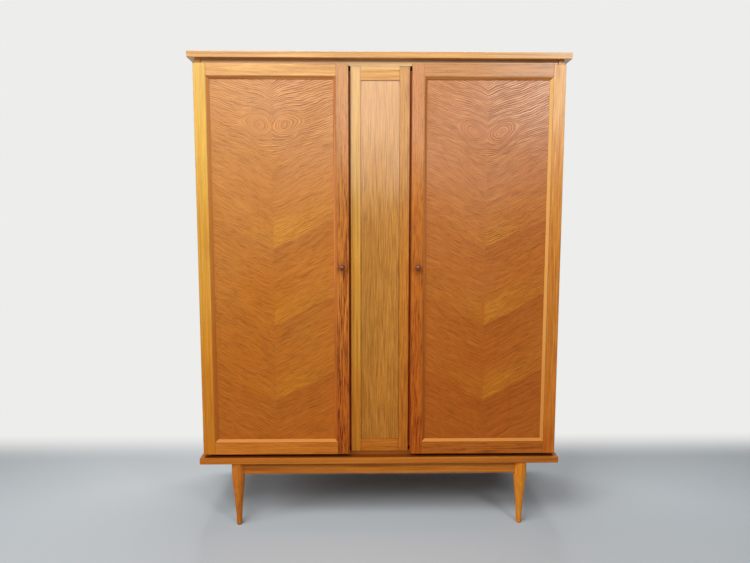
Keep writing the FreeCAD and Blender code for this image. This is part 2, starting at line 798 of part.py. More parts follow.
def stand(long_screws):
    """Legs, aprons and glides, by node name."""
    places = leg_places()
    tenon_tip = leg_diameter / 2 - tenon_length
    tenon_low = apron_bottom_z + (apron_height - tenon_height) / 2
    tenon_high = tenon_low + tenon_height
    half_bar = apron_thickness / 2
    half_tenon = tenon_thickness / 2

    def along_x(y, play):
        half = leg_x - tenon_tip + play
        return box(-half, half, y - half_tenon - play, y + half_tenon + play,
                   tenon_low - play, tenon_high + play)

    def along_y(x, play):
        return box(x - half_tenon - play, x + half_tenon + play, leg_front_y + tenon_tip - play,
                   leg_back_y - tenon_tip + play, tenon_low - play, tenon_high + play)

    collars = [upright_rod(leg_diameter + 2 * joint_clearance, x, y, apron_bottom_z, base_under_z)
               for x, y in places.values()]
    mortises = [along_x(y, joint_clearance) for y in (leg_front_y, leg_back_y)]
    mortises += [along_y(x, joint_clearance) for x in (-leg_x, leg_x)]
    nodes = {}
    for name, (x, y) in places.items():
        nodes["leg_" + name] = [leg(x, y, mortises, glide(x, y, drill_clearance).hole)]
    for name, y in (("front", leg_front_y), ("back", leg_back_y)):
        bar = apron(-leg_x, leg_x, y - half_bar, y + half_bar, along_x(y, 0), collars)
        nodes[name + "_apron"] = [drilled(bar, long_screws[name])]
    for name, side in SIDES.items():
        x = side * leg_x
        bar = apron(x - half_bar, x + half_bar, leg_front_y, leg_back_y, along_y(x, 0), collars)
        nodes[name + "_apron"] = [bar]
    nodes["foot_glides"] = [glide(x, y, 0).solid for x, y in places.values()]
    return nodes


def wardrobe():
    """Every node of the wardrobe with its solids."""
    hinges = {name: door_hinges(side) for name, side in SIDES.items()}
    side_dowels = {name: side_joint_dowels(side) for name, side in SIDES.items()}
    middle_dowels = partition_dowels()
    stile_dowels = centre_stile_dowels(LEFT) + centre_stile_dowels(RIGHT)
    all_dowels = side_dowels["left"] + side_dowels["right"] + middle_dowels + stile_dowels

    top_edge_z = ceiling_z + carcass_top_thickness / 2
    bottom_edge_z = base_top_z + carcass_bottom_thickness / 2
    side_nails = {name: edge_nails(side * (inner_x + back_lap / 2)) for name, side in SIDES.items()}
    middle_nails = {name: edge_nails(side * partition_nail_inset) for name, side in SIDES.items()}
    top_nails = {name: end_nails(side, top_edge_z) for name, side in SIDES.items()}
    bottom_nails = {name: end_nails(side, bottom_edge_z) for name, side in SIDES.items()}

    top_screws = board_screws(ceiling_z, carcass_top_thickness + board_screw_grip, 1)
    base_screws = board_screws(floor_z, carcass_bottom_thickness + board_screw_grip, -1)
    long_screws = {"front": apron_screws(leg_front_y), "back": apron_screws(leg_back_y)}
    stand_screws = long_screws["front"] + long_screws["back"]

    side_pins = []
    partition_pins = []
    for bottom in shelf_bottoms:
        side_pins += shelf_pins(LEFT * inner_x, RIGHT, bottom)
        partition_pins += shelf_pins(LEFT * partition_x, LEFT, bottom)
    hat_pins = shelf_pins(RIGHT * inner_x, LEFT, hat_shelf_bottom)
    partition_pins += shelf_pins(RIGHT * partition_x, RIGHT, hat_shelf_bottom)

    inner_socket_screws = socket_screws(partition_x, RIGHT)
    outer_socket_screws = socket_screws(inner_x, LEFT)
    ceiling_catch_screws = {name: catch_screw(side, ceiling_z, 1) for name, side in SIDES.items()}
    floor_catch_screws = {name: catch_screw(side, floor_z, -1) for name, side in SIDES.items()}
    frame_hinges = hinges["left"] + hinges["right"]
    hinge_frame_screws = {name: [screw for one in hinges[name] for screw in one.frame_screws]
                          for name in SIDES}

    nodes = {
        "top_board": [drilled(overhanging_board(side_x + top_side_overhang, top_under_z, top_z), top_screws)],
        "base_board": [base_board(base_screws + stand_screws)],
        "left_side": [carcass_side(LEFT, hinges["left"], side_dowels["left"] + side_nails["left"]
                                   + side_pins + hinge_frame_screws["left"])],
        "right_side": [carcass_side(RIGHT, hinges["right"], side_dowels["right"] + side_nails["right"]
                                    + hat_pins + outer_socket_screws + hinge_frame_screws["right"])],
        "carcass_top": [carcass_top(all_dowels + top_screws + top_nails["left"] + top_nails["right"]
                                    + list(ceiling_catch_screws.values()))],
        "carcass_bottom": [carcass_bottom(all_dowels + base_screws + bottom_nails["left"]
                                          + bottom_nails["right"] + list(floor_catch_screws.values()))],
        "centre_partition": [centre_partition(middle_dowels + partition_pins + inner_socket_screws
                                              + middle_nails["left"] + middle_nails["right"])],
        "hat_shelf": [shelf(partition_x, inner_x, hat_shelf_bottom)],
        "hanging_rail": [hanging_rail()],
        "rail_sockets": [rail_socket(partition_x, RIGHT, inner_socket_screws),
                         rail_socket(inner_x, LEFT, outer_socket_screws)],
        "hinge_frame_leaves": [one.frame_leaf for one in frame_hinges],
        "hinge_pins": [one.pin for one in frame_hinges]}
    nails = []
    catches = []
    for name, side in SIDES.items():
        panel_nails = side_nails[name] + middle_nails[name] + top_nails[name] + bottom_nails[name]
        nodes[name + "_back_panel"] = [back_panel(side, panel_nails)]
        nails += panel_nails
        catches.append(door_catch(side, ceiling_z, 1, ceiling_catch_screws[name]))
        catches.append(door_catch(side, floor_z, -1, floor_catch_screws[name]))
        nodes.update(door(name, side, hinges[name]))
    for number, bottom in enumerate(shelf_bottoms, start=1):
        nodes[f"shelf_{number}"] = [shelf(-inner_x, -partition_x, bottom)]
    nodes.update(centre_front(stile_dowels))
    nodes.update(stand(long_screws))

    hardware = inner_socket_screws + outer_socket_screws + list(ceiling_catch_screws.values())
    hardware += list(floor_catch_screws.values()) + hinge_frame_screws["left"] + hinge_frame_screws["right"]
    groups = {
        "door_catches": catches,
        "back_panel_nails": [one.solid for one in nails],
        "carcass_dowels": [one.solid for one in all_dowels],
        "carcass_screws": [one.solid for one in top_screws + base_screws + stand_screws],
        "hardware_screws": [one.solid for one in hardware],
        "shelf_pins": [one.solid for one in side_pins + partition_pins + hat_pins]}
    nodes.update(groups)
    return nodes


def main():
    os.makedirs("parts", exist_ok=True)
    nodes = wardrobe()
    for name, solids in nodes.items():
        shape = solids[0] if len(solids) == 1 else Part.makeCompound(solids)
        shape.exportStep(f"parts/{name}.step")
    print(len(nodes), "nodes,", sum(len(solids) for solids in nodes.values()), "solids")


if __name__ == "__main__":
    main()
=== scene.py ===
# %% [markdown]
# # An oak wardrobe with two book-matched doors
# The wardrobe was drawn in CAD first, piece by piece, so its shapes and its hinges are already right.
# Blender could model everything again, but then the two models would drift apart. This lesson takes the
# other way: the CAD pieces stay where they are, and each one gets the finish of the real wood or metal.

# %% Load the CAD pieces
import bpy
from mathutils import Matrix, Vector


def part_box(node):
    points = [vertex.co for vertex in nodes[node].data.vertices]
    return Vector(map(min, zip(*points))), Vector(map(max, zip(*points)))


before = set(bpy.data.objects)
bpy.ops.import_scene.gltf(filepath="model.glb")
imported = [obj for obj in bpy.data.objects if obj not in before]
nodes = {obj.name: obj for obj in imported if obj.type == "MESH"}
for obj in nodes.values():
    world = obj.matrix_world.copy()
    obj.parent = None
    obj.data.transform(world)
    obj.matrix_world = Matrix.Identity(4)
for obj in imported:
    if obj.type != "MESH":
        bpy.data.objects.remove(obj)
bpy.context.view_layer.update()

# %% [markdown]
# The tools of the lesson. bpy is Blender itself, bmesh edits meshes, and mathutils holds vectors and turns.
# All lengths are metres, and the front of the wardrobe faces -Y, as in the CAD model.

# %% Import the tools
import math

import bmesh
import bpy
from mathutils import Matrix, Vector

scene = bpy.context.scene
scene.view_settings.view_transform = "Standard"

# %% [markdown]
# ## The camera
# The photograph was taken from a little left of the middle, at about chest height, looking slightly down.
# The camera could be aimed at a target object, but its distance and its angles are known from the
# wardrobe's own edges, so they are written down. The lens follows from the focal length in pixels.

# %% Place the camera
IMAGE_WIDTH = 750
FOCAL_PIXELS = 565.0
SENSOR = 36.0
CAMERA_X, CAMERA_DISTANCE, CAMERA_HEIGHT = -0.0511, 2.1184, 1.1671
YAW, PITCH, ROLL = (math.radians(angle) for angle in (-0.869, 5.476, -0.044))

door_face_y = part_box("left_door_hinge_stile")[0].y
camera_data = bpy.data.cameras.new("photo_camera")
camera_data.sensor_width = SENSOR
camera_data.lens = FOCAL_PIXELS / IMAGE_WIDTH * SENSOR
camera = bpy.data.objects.new("photo_camera", camera_data)
scene.collection.objects.link(camera)
turn = Matrix.Rotation(YAW, 4, "Z") @ Matrix.Rotation(math.pi / 2 - PITCH, 4, "X")
turn = turn @ Matrix.Rotation(-ROLL, 4, "Z")
place = Vector((CAMERA_X, door_face_y - CAMERA_DISTANCE, CAMERA_HEIGHT))
camera.matrix_world = Matrix.Translation(place) @ turn
scene.camera = camera
print("lens", round(camera_data.lens, 2), "mm")

# %% [markdown]
# ## The floor
# The wardrobe stands on a plain pale floor. A single wide square is enough: it takes the shadow and
# throws a little light back up under the base.

# %% Make the floor
FLOOR_HALF = 9.0
floor_mesh = bpy.data.meshes.new("floor")
shape = bmesh.new()
bmesh.ops.create_grid(shape, x_segments=1, y_segments=1, size=FLOOR_HALF)
shape.to_mesh(floor_mesh)
shape.free()
floor = bpy.data.objects.new("floor", floor_mesh)
scene.collection.objects.link(floor)
print("floor", 2 * FLOOR_HALF, "m wide")

# %% [markdown]
# ## Shader nodes by hand
# A material is a small network of nodes. It could be drawn in the shader editor. In a script, a few short
# helpers keep it readable: one adds any node and fills its inputs with values or with other nodes'
# outputs, and the others name the nodes that come up again and again.

# %% Helpers for single nodes
NOISE_SPAN = (0.3, 0.7)


def fill(tree, node, inputs):
    """Gives a node's inputs their values. A value that is another node's output is linked."""
    for key, value in inputs.items():
        if isinstance(value, bpy.types.NodeSocket):
            tree.links.new(value, node.inputs[key])
        else:
            node.inputs[key].default_value = value


def add(tree, kind, inputs=None, **settings):
    """A node with its settings and inputs."""
    node = tree.nodes.new("ShaderNode" + kind)
    for name, value in settings.items():
        setattr(node, name, value)
    fill(tree, node, inputs or {})
    return node


def calc(tree, operation, *values):
    """One sum: the result of a Math node."""
    return add(tree, "Math", dict(enumerate(values)), operation=operation).outputs[0]


def vector_calc(tree, operation, *values):
    """One vector sum: the result of a Vector Math node."""
    return add(tree, "VectorMath", dict(enumerate(values)), operation=operation).outputs[0]


def remap(tree, value, low, high, to_low=0.0, to_high=1.0, smooth=True):
    """A value carried from one range to another, held at both ends."""
    kind = "SMOOTHSTEP" if smooth else "LINEAR"
    inputs = {"Value": value, "From Min": low, "From Max": high, "To Min": to_low, "To Max": to_high}
    return add(tree, "MapRange", inputs, interpolation_type=kind).outputs["Result"]


def noise(tree, vector, scale=1.0, detail=2.0, roughness=0.5):
    """Soft random values about one half, most of them inside NOISE_SPAN."""
    inputs = {"Vector": vector, "Scale": scale, "Detail": detail, "Roughness": roughness}
    return add(tree, "TexNoise", inputs).outputs["Fac"]


def mixed(tree, factor, first, second, blend_type="MIX"):
    """Two colours mixed by a factor."""
    inputs = {0: factor, 6: first, 7: second}
    return add(tree, "Mix", inputs, data_type="RGBA", blend_type=blend_type).outputs[2]


def joined_vector(tree, x, y, z):
    """Three values as one vector."""
    return add(tree, "CombineXYZ", {0: x, 1: y, 2: z}).outputs[0]


def split_vector(tree, vector):
    """The three values of a vector."""
    return add(tree, "SeparateXYZ", {0: vector}).outputs


print("helpers for nodes ready")

# %% [markdown]
# Some networks serve many materials. Blender keeps such a network in a node group with named sockets, and
# each material places the group with values of its own.

# %% Helpers for groups and materials
def new_group(name, inputs, outputs):
    """An empty node group with named sockets: the group, where values come in, where they go out."""
    tree = bpy.data.node_groups.new(name, "ShaderNodeTree")
    for label, (kind, value) in inputs.items():
        socket = tree.interface.new_socket(name=label, in_out="INPUT", socket_type="NodeSocket" + kind)
        socket.default_value = value
    for label in outputs:
        kind = "Color" if label == "Colour" else "Float"
        tree.interface.new_socket(name=label, in_out="OUTPUT", socket_type="NodeSocket" + kind)
    return tree, tree.nodes.new("NodeGroupInput").outputs, tree.nodes.new("NodeGroupOutput").inputs


def use_group(tree, group, inputs):
    """A group placed in a material with its own values. Gives its outputs."""
    node = tree.nodes.new("ShaderNodeGroup")
    node.node_tree = group
    fill(tree, node, inputs)
    return node.outputs


def colour(red, green, blue):
    """A colour as a picture shows it, 0 to 255, turned into the linear values that shaders use."""
    def linear(part):
        part /= 255
        return part / 12.92 if part <= 0.04045 else ((part + 0.055) / 1.055) ** 2.4
    return (linear(red), linear(green), linear(blue), 1.0)


def new_material(name):
    """A material with its Principled shader: the node tree and the shader's inputs."""
    material = bpy.data.materials.new(name)
    material.use_nodes = True
    shader = material.node_tree.nodes["Principled BSDF"]
    return material, material.node_tree, shader.inputs


def relief(tree, shader, height, strength, distance):
    """Gives a surface a fine relief, from a height that changes over it."""
    inputs = {"Strength": strength, "Distance": distance, "Height": height}
    tree.links.new(add(tree, "Bump", inputs).outputs[0], shader["Normal"])


print("helpers for groups and materials ready")

# %% [markdown]
# ## Light
# The real wardrobe stands in soft light: a wide window in front of it, whose brighter right part lays a
# sheen over the top of the right door, a lamp under the ceiling, and some daylight from the left, which
# makes the bevels that face left bright. Sun lamps would make hard shadows. Large area lamps give the same
# soft fall of light, and one more lamp behind keeps the back and the right side readable.

# %% Hang the lamps
def area_lamp(name, place, target, size, power, spread=180):
    """A rectangle of light at a place, turned towards a target."""
    lamp_data = bpy.data.lights.new(name, "AREA")
    lamp_data.shape = "RECTANGLE"
    lamp_data.size, lamp_data.size_y = size
    lamp_data.energy = power
    lamp_data.spread = math.radians(spread)
    lamp = bpy.data.objects.new(name, lamp_data)
    aim = (Vector(target) - Vector(place)).to_track_quat("-Z", "Y")
    lamp.matrix_world = Matrix.Translation(place) @ aim.to_matrix().to_4x4()
    scene.collection.objects.link(lamp)


area_lamp("ceiling_light", place=(-1.1, -2.1, 3.2), target=(0.0, -0.2, 1.25), size=(1.6, 1.4), power=26,
          spread=105)
area_lamp("front_light", place=(0.35, -2.7, 2.0), target=(0.1, -0.2, 1.4), size=(2.7, 0.85), power=21)
area_lamp("window_light", place=(1.45, -2.5, 2.25), target=(0.6, -0.2, 1.6), size=(0.7, 0.6), power=17)
area_lamp("side_light", place=(-2.8, -1.6, 1.7), target=(0.0, -0.3, 1.1), size=(1.2, 1.4), power=28)
area_lamp("back_light", place=(0.0, 1.2, 3.7), target=(0.0, 0.3, 0.9), size=(2.0, 0.6), power=26, spread=120)

# %% [markdown]
# The world looks pale to the camera and to shiny metal, and lights the object only gently: the Light Path
# node tells the two apart. Far from the wardrobe the floor melts into the same pale tone, so there is no
# horizon. More light on everything would also make it pale, but it would wash out the wood.

# %% Pale world and floor
FLOOR_COLOUR = colour(200, 207, 212)
FLOOR_ROUGHNESS = 0.85
BACKDROP_COLOUR = colour(237, 237, 235)
AMBIENT = 0.04
MELT_BEHIND = (0.36, 0.75)
MELT_AROUND = (1.9, 3.2)


def seen(tree):
    """One for what the camera sees, also in a reflection or through glass, and zero for other light."""
    rays = add(tree, "LightPath").outputs
    direct = calc(tree, "MAXIMUM", rays["Is Camera Ray"], rays["Is Glossy Ray"])
    return calc(tree, "MAXIMUM", direct, rays["Is Transmission Ray"])


world = bpy.data.worlds.new("pale_room")
scene.world = world
world.use_nodes = True
tree = world.node_tree
tree.nodes.clear()
soft = add(tree, "Background", {"Color": (1, 1, 1, 1), "Strength": AMBIENT}).outputs[0]
pale = add(tree, "Background", {"Color": BACKDROP_COLOUR, "Strength": 1.0}).outputs[0]
sky = add(tree, "MixShader", {0: seen(tree), 1: soft, 2: pale}).outputs[0]
add(tree, "OutputWorld", {"Surface": sky})

floor_material, tree, shader = new_material("pale_floor")
shader["Base Color"].default_value = FLOOR_COLOUR
shader["Roughness"].default_value = FLOOR_ROUGHNESS
spot = add(tree, "TexCoord").outputs["Object"]
behind = remap(tree, split_vector(tree, spot)[1], *MELT_BEHIND)
away = add(tree, "VectorMath", {0: spot}, operation="LENGTH").outputs["Value"]
melt = calc(tree, "MAXIMUM", behind, remap(tree, away, *MELT_AROUND))
melt = calc(tree, "MULTIPLY", melt, seen(tree))
glow = add(tree, "Emission", {"Color": BACKDROP_COLOUR, "Strength": 1.0}).outputs[0]
ground = tree.nodes["Principled BSDF"].outputs[0]
ground = add(tree, "MixShader", {0: melt, 1: ground, 2: glow}).outputs[0]
tree.links.new(ground, tree.nodes["Material Output"].inputs["Surface"])
floor_mesh.materials.append(floor_material)
print("world", world.name, "and floor", floor_material.name)

# %% [markdown]
# ## Oak grain
# Oak shows three things at once: slow light and dark streaks along the board, short dark pores inside the
# streaks, and a slow cloud of warmer and cooler wood. A photo texture could show one board, but every
# piece would repeat it. Stretched noise gives each board its own figure. The group reads a vector whose X
# runs along the grain, so the same group serves boards, stiles, legs and veneers.

# %% Node group for oak grain
FIBRE_SHARE = 0.4
PORE_ROWS = (0.42, 0.58, 0.12, 0.0)
PORE_EDGE = (0.66, 0.74)
CLOUD_SCALE = (2.0, 9.0, 9.0)
STREAK_RELIEF, PORE_RELIEF = 0.6, 0.8

oak_grain, come, go = new_group("oak_grain", {
    "Vector": ("Vector", (0, 0, 0)), "Streak Width": ("Float", 0.008), "Streak Length": ("Float", 0.3),
    "Pore Width": ("Float", 0.0009), "Pore Length": ("Float", 0.016)},
    ["Streaks", "Fibres", "Pores", "Cloud", "Relief"])
tree = oak_grain
along, across, depth = split_vector(tree, come["Vector"])


def stretched(width, length):
    """The vector scaled so that one unit is the given width across and the given length along."""
    return joined_vector(tree, calc(tree, "DIVIDE", along, length), calc(tree, "DIVIDE", across, width),
                         calc(tree, "DIVIDE", depth, width))


streaks = noise(tree, stretched(come["Streak Width"], come["Streak Length"]), detail=4.0, roughness=0.6)
fibre_width = calc(tree, "MULTIPLY", come["Streak Width"], FIBRE_SHARE)
fibre_length = calc(tree, "MULTIPLY", come["Streak Length"], FIBRE_SHARE)
fibres = noise(tree, stretched(fibre_width, fibre_length))
speckle = noise(tree, stretched(come["Pore Width"], come["Pore Length"]), detail=1.0)
pores = remap(tree, calc(tree, "ADD", speckle, remap(tree, streaks, *PORE_ROWS)), *PORE_EDGE)
cloud = noise(tree, vector_calc(tree, "MULTIPLY", come["Vector"], CLOUD_SCALE))
hollow = calc(tree, "MULTIPLY", pores, PORE_RELIEF)
surface = calc(tree, "SUBTRACT", calc(tree, "MULTIPLY", streaks, STREAK_RELIEF), hollow)
for label, value in (("Streaks", streaks), ("Fibres", fibres), ("Pores", pores), ("Cloud", cloud),
                     ("Relief", surface)):
    tree.links.new(value, go[label])
print("group", oak_grain.name, "with", len(tree.nodes), "nodes")

# %% [markdown]
# ## Rubbed edges and painted edge highlights
# Decades of cleaning have rubbed the varnish thin along the edges of every board, and the wood shows paler
# there. On the stiles beside the centre panel the pale edge is much stronger, a painted highlight along the
# lit edge. Right at the edge, in the joints, old polish has left a thin dark line, and along the lower edge
# of the front apron that line is painted shade. Blender can find edges from the mesh, but CAD meshes have
# loose triangles. Each board is close to a box, so the group measures how near a point is to the nearest edge
# of
# that box: of the three distances to the box's faces, the smallest belongs to the face itself and the next
# one to its edge.

# %% Node group for rubbed edges and edge highlights
JOINT_AND_SHADE_LINE = (0.0006, 0.002)
PATCH_SCALE = 38.0
PATCHY_REACH = (0.35, 0.7, 0.3, 1.6)

rubbed_edges_and_highlights, come, go = new_group("rubbed_edges_and_highlights", {
    "Position": ("Vector", (0, 0, 0)), "Low": ("Vector", (0, 0, 0)), "High": ("Vector", (1, 1, 1)),
    "Reach": ("Float", 0.004)}, ["Wear", "Joint And Shade"])
tree = rubbed_edges_and_highlights
from_low = vector_calc(tree, "SUBTRACT", come["Position"], come["Low"])
from_high = vector_calc(tree, "SUBTRACT", come["High"], come["Position"])
a, b, c = split_vector(tree, vector_calc(tree, "MINIMUM", from_low, from_high))
smaller, larger = calc(tree, "MINIMUM", a, b), calc(tree, "MAXIMUM", a, b)
edge_distance = calc(tree, "MAXIMUM", smaller, calc(tree, "MINIMUM", larger, c))
patches = noise(tree, come["Position"], scale=PATCH_SCALE, detail=3.0)
uneven = calc(tree, "MULTIPLY", come["Reach"], remap(tree, patches, *PATCHY_REACH))
wear_and_highlight = calc(tree, "SUBTRACT", 1.0, calc(tree, "DIVIDE", edge_distance, uneven))
tree.links.new(calc(tree, "MAXIMUM", wear_and_highlight, 0.0), go["Wear"])
tree.links.new(remap(tree, edge_distance, *JOINT_AND_SHADE_LINE, 1.0, 0.0), go["Joint And Shade"])
print("group", rubbed_edges_and_highlights.name, "with", len(tree.nodes), "nodes")

# %% [markdown]
# ## Aged varnish and painted light
# The colour changes with height, partly as faded wood and mostly as painted light: towards the top it grows
# paler, bluer and pinker, standing in for the brighter light and the sheen there, and near the floor it turns
# a deeper orange, painted shade. The varnish still shines near the top, but near the floor shoes and brooms
# have rubbed it dull. A gradient could be painted on each piece. One group that looks at the height does it
# for all of them, and the change runs on from piece to piece as it does on the real front.

# %% Node group for aged varnish and painted light
# Painted light: these tints and the pale tone make the wood paler and bluer towards the top and a deeper
# orange near the floor.
DEEP_AND_SHADED_TINT = (0.93, 0.6, 0.36, 1.0)
FADED_AND_LIT_TINT = (1.0, 1.25, 2.0, 1.0)
BLEACHED_AND_SHEEN = colour(232, 186, 146)
GRADIENT_FROM, GRADIENT_TO = 0.25, 1.75
DRIFT_SCALE, DRIFT = 2.5, 0.12
BLEACH_AND_SHEEN_FROM = 0.55
COAT_FROM, COAT_HIGH = 0.4, 0.95

varnish_and_painted_light, come, go = new_group("varnish_and_painted_light", {
    "Colour": ("Color", (1, 1, 1, 1)), "Position": ("Vector", (0, 0, 0)), "Depth": ("Float", 0.6),
    "Bleach And Sheen": ("Float", 0.0)}, ["Colour", "Coat"])
tree = varnish_and_painted_light
level = remap(tree, split_vector(tree, come["Position"])[2], GRADIENT_FROM, GRADIENT_TO, smooth=False)
drift = noise(tree, come["Position"], scale=DRIFT_SCALE)
level = calc(tree, "ADD", level, remap(tree, drift, *NOISE_SPAN, -DRIFT, DRIFT, smooth=False))
deep = mixed(tree, come["Depth"], (1, 1, 1, 1), DEEP_AND_SHADED_TINT)
tint = mixed(tree, level, deep, FADED_AND_LIT_TINT)
aged = mixed(tree, 1.0, come["Colour"], tint, "MULTIPLY")
bleach_and_sheen = calc(tree, "MULTIPLY", remap(tree, level, BLEACH_AND_SHEEN_FROM, 1.0), come["Bleach And Sheen"])
tree.links.new(mixed(tree, bleach_and_sheen, aged, BLEACHED_AND_SHEEN), go["Colour"])
tree.links.new(remap(tree, level, COAT_FROM, 1.0, 0.0, COAT_HIGH, smooth=False), go["Coat"])
print("group", varnish_and_painted_light.name, "with", len(tree.nodes), "nodes")

# %% [markdown]
# ## Places on a piece
# Some finishes cover only a part of a piece: some strips of a mitred bead frame carry painted highlights,
# hands have darkened the wood round the knobs, the lips behind the doors' edges carry red staining, and
# painted shade lies on edges behind and under the doors. Each could be a painted mask.
# Measuring is simpler, because every place is known from the CAD boxes. One group tells whether a point is
# inside a box, which counts for both hands because the wardrobe is symmetric. One finds which strip of a
# frame a point belongs to, the one whose side is nearest. One fades away from a spot that hands touch.

# %% Node groups for places
MITRE_BLUR = 0.00001
TOUCH_REACH = (0.016, 0.045)
PLACE = {"Position": ("Vector", (0, 0, 0))}
BOX = PLACE | {"Low": ("Vector", (0, 0, 0)), "High": ("Vector", (1, 1, 1))}

inside_box, come, go = new_group("inside_box", BOX, ["Mask"])
tree = inside_box
x, y, z = split_vector(tree, come["Position"])
either_hand = joined_vector(tree, calc(tree, "ABSOLUTE", x), y, z)
room = vector_calc(tree, "MINIMUM", vector_calc(tree, "SUBTRACT", either_hand, come["Low"]),
                   vector_calc(tree, "SUBTRACT", come["High"], either_hand))
a, b, c = split_vector(tree, room)
least = calc(tree, "MINIMUM", calc(tree, "MINIMUM", a, b), c)
tree.links.new(calc(tree, "GREATER_THAN", least, 0.0), go["Mask"])

mitred_frame, come, go = new_group("mitred_frame", BOX, ["Left", "Right", "Bottom", "Top"])
tree = mitred_frame
from_left, _, from_bottom = split_vector(tree, vector_calc(tree, "SUBTRACT", come["Position"], come["Low"]))
from_right, _, from_top = split_vector(tree, vector_calc(tree, "SUBTRACT", come["High"], come["Position"]))
nearest = calc(tree, "MINIMUM", calc(tree, "MINIMUM", from_left, from_right),
               calc(tree, "MINIMUM", from_bottom, from_top))
nearest = calc(tree, "ADD", nearest, MITRE_BLUR)
for label, gap in (("Left", from_left), ("Right", from_right), ("Bottom", from_bottom), ("Top", from_top)):
    tree.links.new(calc(tree, "LESS_THAN", gap, nearest), go[label])

touched_place, come, go = new_group("touched_place", PLACE | {"Middle": ("Vector", (0, 0, 0))}, ["Mask"])
tree = touched_place
away = add(tree, "VectorMath", {0: come["Position"], 1: come["Middle"]}, operation="DISTANCE")
tree.links.new(remap(tree, away.outputs["Value"], *TOUCH_REACH, 1.0, 0.0), go["Mask"])
print("groups", inside_box.name, mitred_frame.name, touched_place.name)

# %% [markdown]
# ## Solid oak
# Stiles, rails, beads, boards and legs are solid oak under a satin varnish, and each piece gets a material
# of its own. The Mapping node turns the pattern until its X runs along the piece and shifts it by a
# different amount each time, so no two pieces look alike. A bead frame has upright and level strips in one
# piece, so its pattern changes direction at the mitres.

# %% Coordinates along the grain
TURNS = {"X": (0, 0, 0), "Y": (0, 0, -math.pi / 2), "Z": (0, math.pi / 2, 0)}
SHIFT = Vector((0.37, 0.61, 0.23))


def dress(name, material):
    """Gives a CAD piece its material."""
    nodes[name].data.materials[0] = material


def on_box(tree, group, name, position):
    """A group that measures a piece's own box, placed in its material. Gives its outputs."""
    low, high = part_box(name)
    return use_group(tree, group, {"Position": position, "Low": low, "High": high})


def grain_vector(tree, name, position, along, number):
    """Object coordinates turned so that X runs along the grain, shifted by the piece's number."""
    def turned(axis):
        inputs = {"Vector": position, "Location": SHIFT * number, "Rotation": TURNS[axis]}
        return add(tree, "Mapping", inputs).outputs[0]

    if along != "frame":
        return turned(along)
    strips = on_box(tree, mitred_frame, name, position)
    upright = calc(tree, "MAXIMUM", strips["Left"], strips["Right"])
    inputs = {0: upright, 4: turned("X"), 5: turned("Z")}
    return add(tree, "Mix", inputs, data_type="VECTOR").outputs[1]


print("grain directions:", list(TURNS) + ["frame"])

# %% [markdown]
# The colour of a piece is built in layers: dark streaks and pale wood, then fine fibres, slow clouds and
# pores. The varnish lies over them. It is satin, so it is rougher in the dark streaks, and it is a coat on
# the shader rather than more gloss in the wood, because on the real piece it is a layer of its own.

# %% Layers of oak and varnish
DARK_STREAK, PALE_STREAK = (0.5, 0.32), (0.5, 0.68)
FIBRE_SHADES = (0.25, 0.75, 0.85, 1.15)
CLOUD_SHADES = (0.3, 0.7, 0.93, 1.06)
WOOD_GLOSS = 0.12
VARNISH_ROUGHNESS = 0.33
VARNISH_IOR = 1.6


def shaded(tree, tone, value):
    """A tone made darker or lighter by a value about one."""
    return mixed(tree, 1.0, tone, joined_vector(tree, value, value, value), "MULTIPLY")


def oak_layers(tree, grain, height, tones, contrast, pore):
    """The bare wood. Contrast is the strength of its streaks near the floor and near the top."""
    dark, wood, pale = tones
    strength = remap(tree, height, GRADIENT_FROM, GRADIENT_TO, *contrast)
    tone = mixed(tree, remap(tree, grain["Streaks"], *DARK_STREAK, 0.0, strength), wood, dark)
    tone = mixed(tree, remap(tree, grain["Streaks"], *PALE_STREAK, 0.0, strength), tone, pale)
    tone = shaded(tree, tone, remap(tree, grain["Fibres"], *FIBRE_SHADES, smooth=False))
    tone = shaded(tree, tone, remap(tree, grain["Cloud"], *CLOUD_SHADES))
    return mixed(tree, calc(tree, "MULTIPLY", grain["Pores"], pore), tone, dark)


def varnish(tree, shader, tone, position, depth, bleach_and_sheen=0.0, gloss=1.0):
    """Lays the aged varnish over a tone, with its painted light. Depth is how deep an orange the painted
    shade gives it near the floor, and the value after it how much paler it is painted near the top, partly as
    fading and partly as painted sheen."""
    inputs = {"Colour": tone, "Position": position, "Depth": depth, "Bleach And Sheen": bleach_and_sheen}
    layer = use_group(tree, varnish_and_painted_light, inputs)
    tree.links.new(calc(tree, "MULTIPLY", layer["Coat"], gloss), shader["Coat Weight"])
    shader["Coat Roughness"].default_value = VARNISH_ROUGHNESS
    shader["Coat IOR"].default_value = VARNISH_IOR
    return layer["Colour"]


def satin(tree, shader, tone, grain, rough):
    """The wood's own surface: its colour, a soft gloss, and a sheen between two roughnesses."""
    tree.links.new(tone, shader["Base Color"])
    smoother, rougher = rough
    tree.links.new(remap(tree, grain["Streaks"], *NOISE_SPAN, rougher, smoother), shader["Roughness"])
    shader["Specular IOR Level"].default_value = WOOD_GLOSS


print("wood gloss", WOOD_GLOSS, "under varnish of roughness", VARNISH_ROUGHNESS)

# %% [markdown]
# One function now makes the material for one piece: the bare wood, then what happened to it, which is rubbed
# edges and painted edge highlights, dark joints and a painted shade line, touching hands, red staining and
# patches of painted shade, and at last the varnish with its painted light. Where hands have rubbed a stile
# for years, the varnish is dull up to a height.

# %% A material for one oak piece
JOINT_AND_SHADE_DARK = colour(84, 40, 14)
STRIP_STRENGTH = 0.8
TOUCH_STRENGTH = 0.25
DULL = 0.2
SATIN = (0.36, 0.5)
OAK_RELIEF = (0.3, 0.0004)


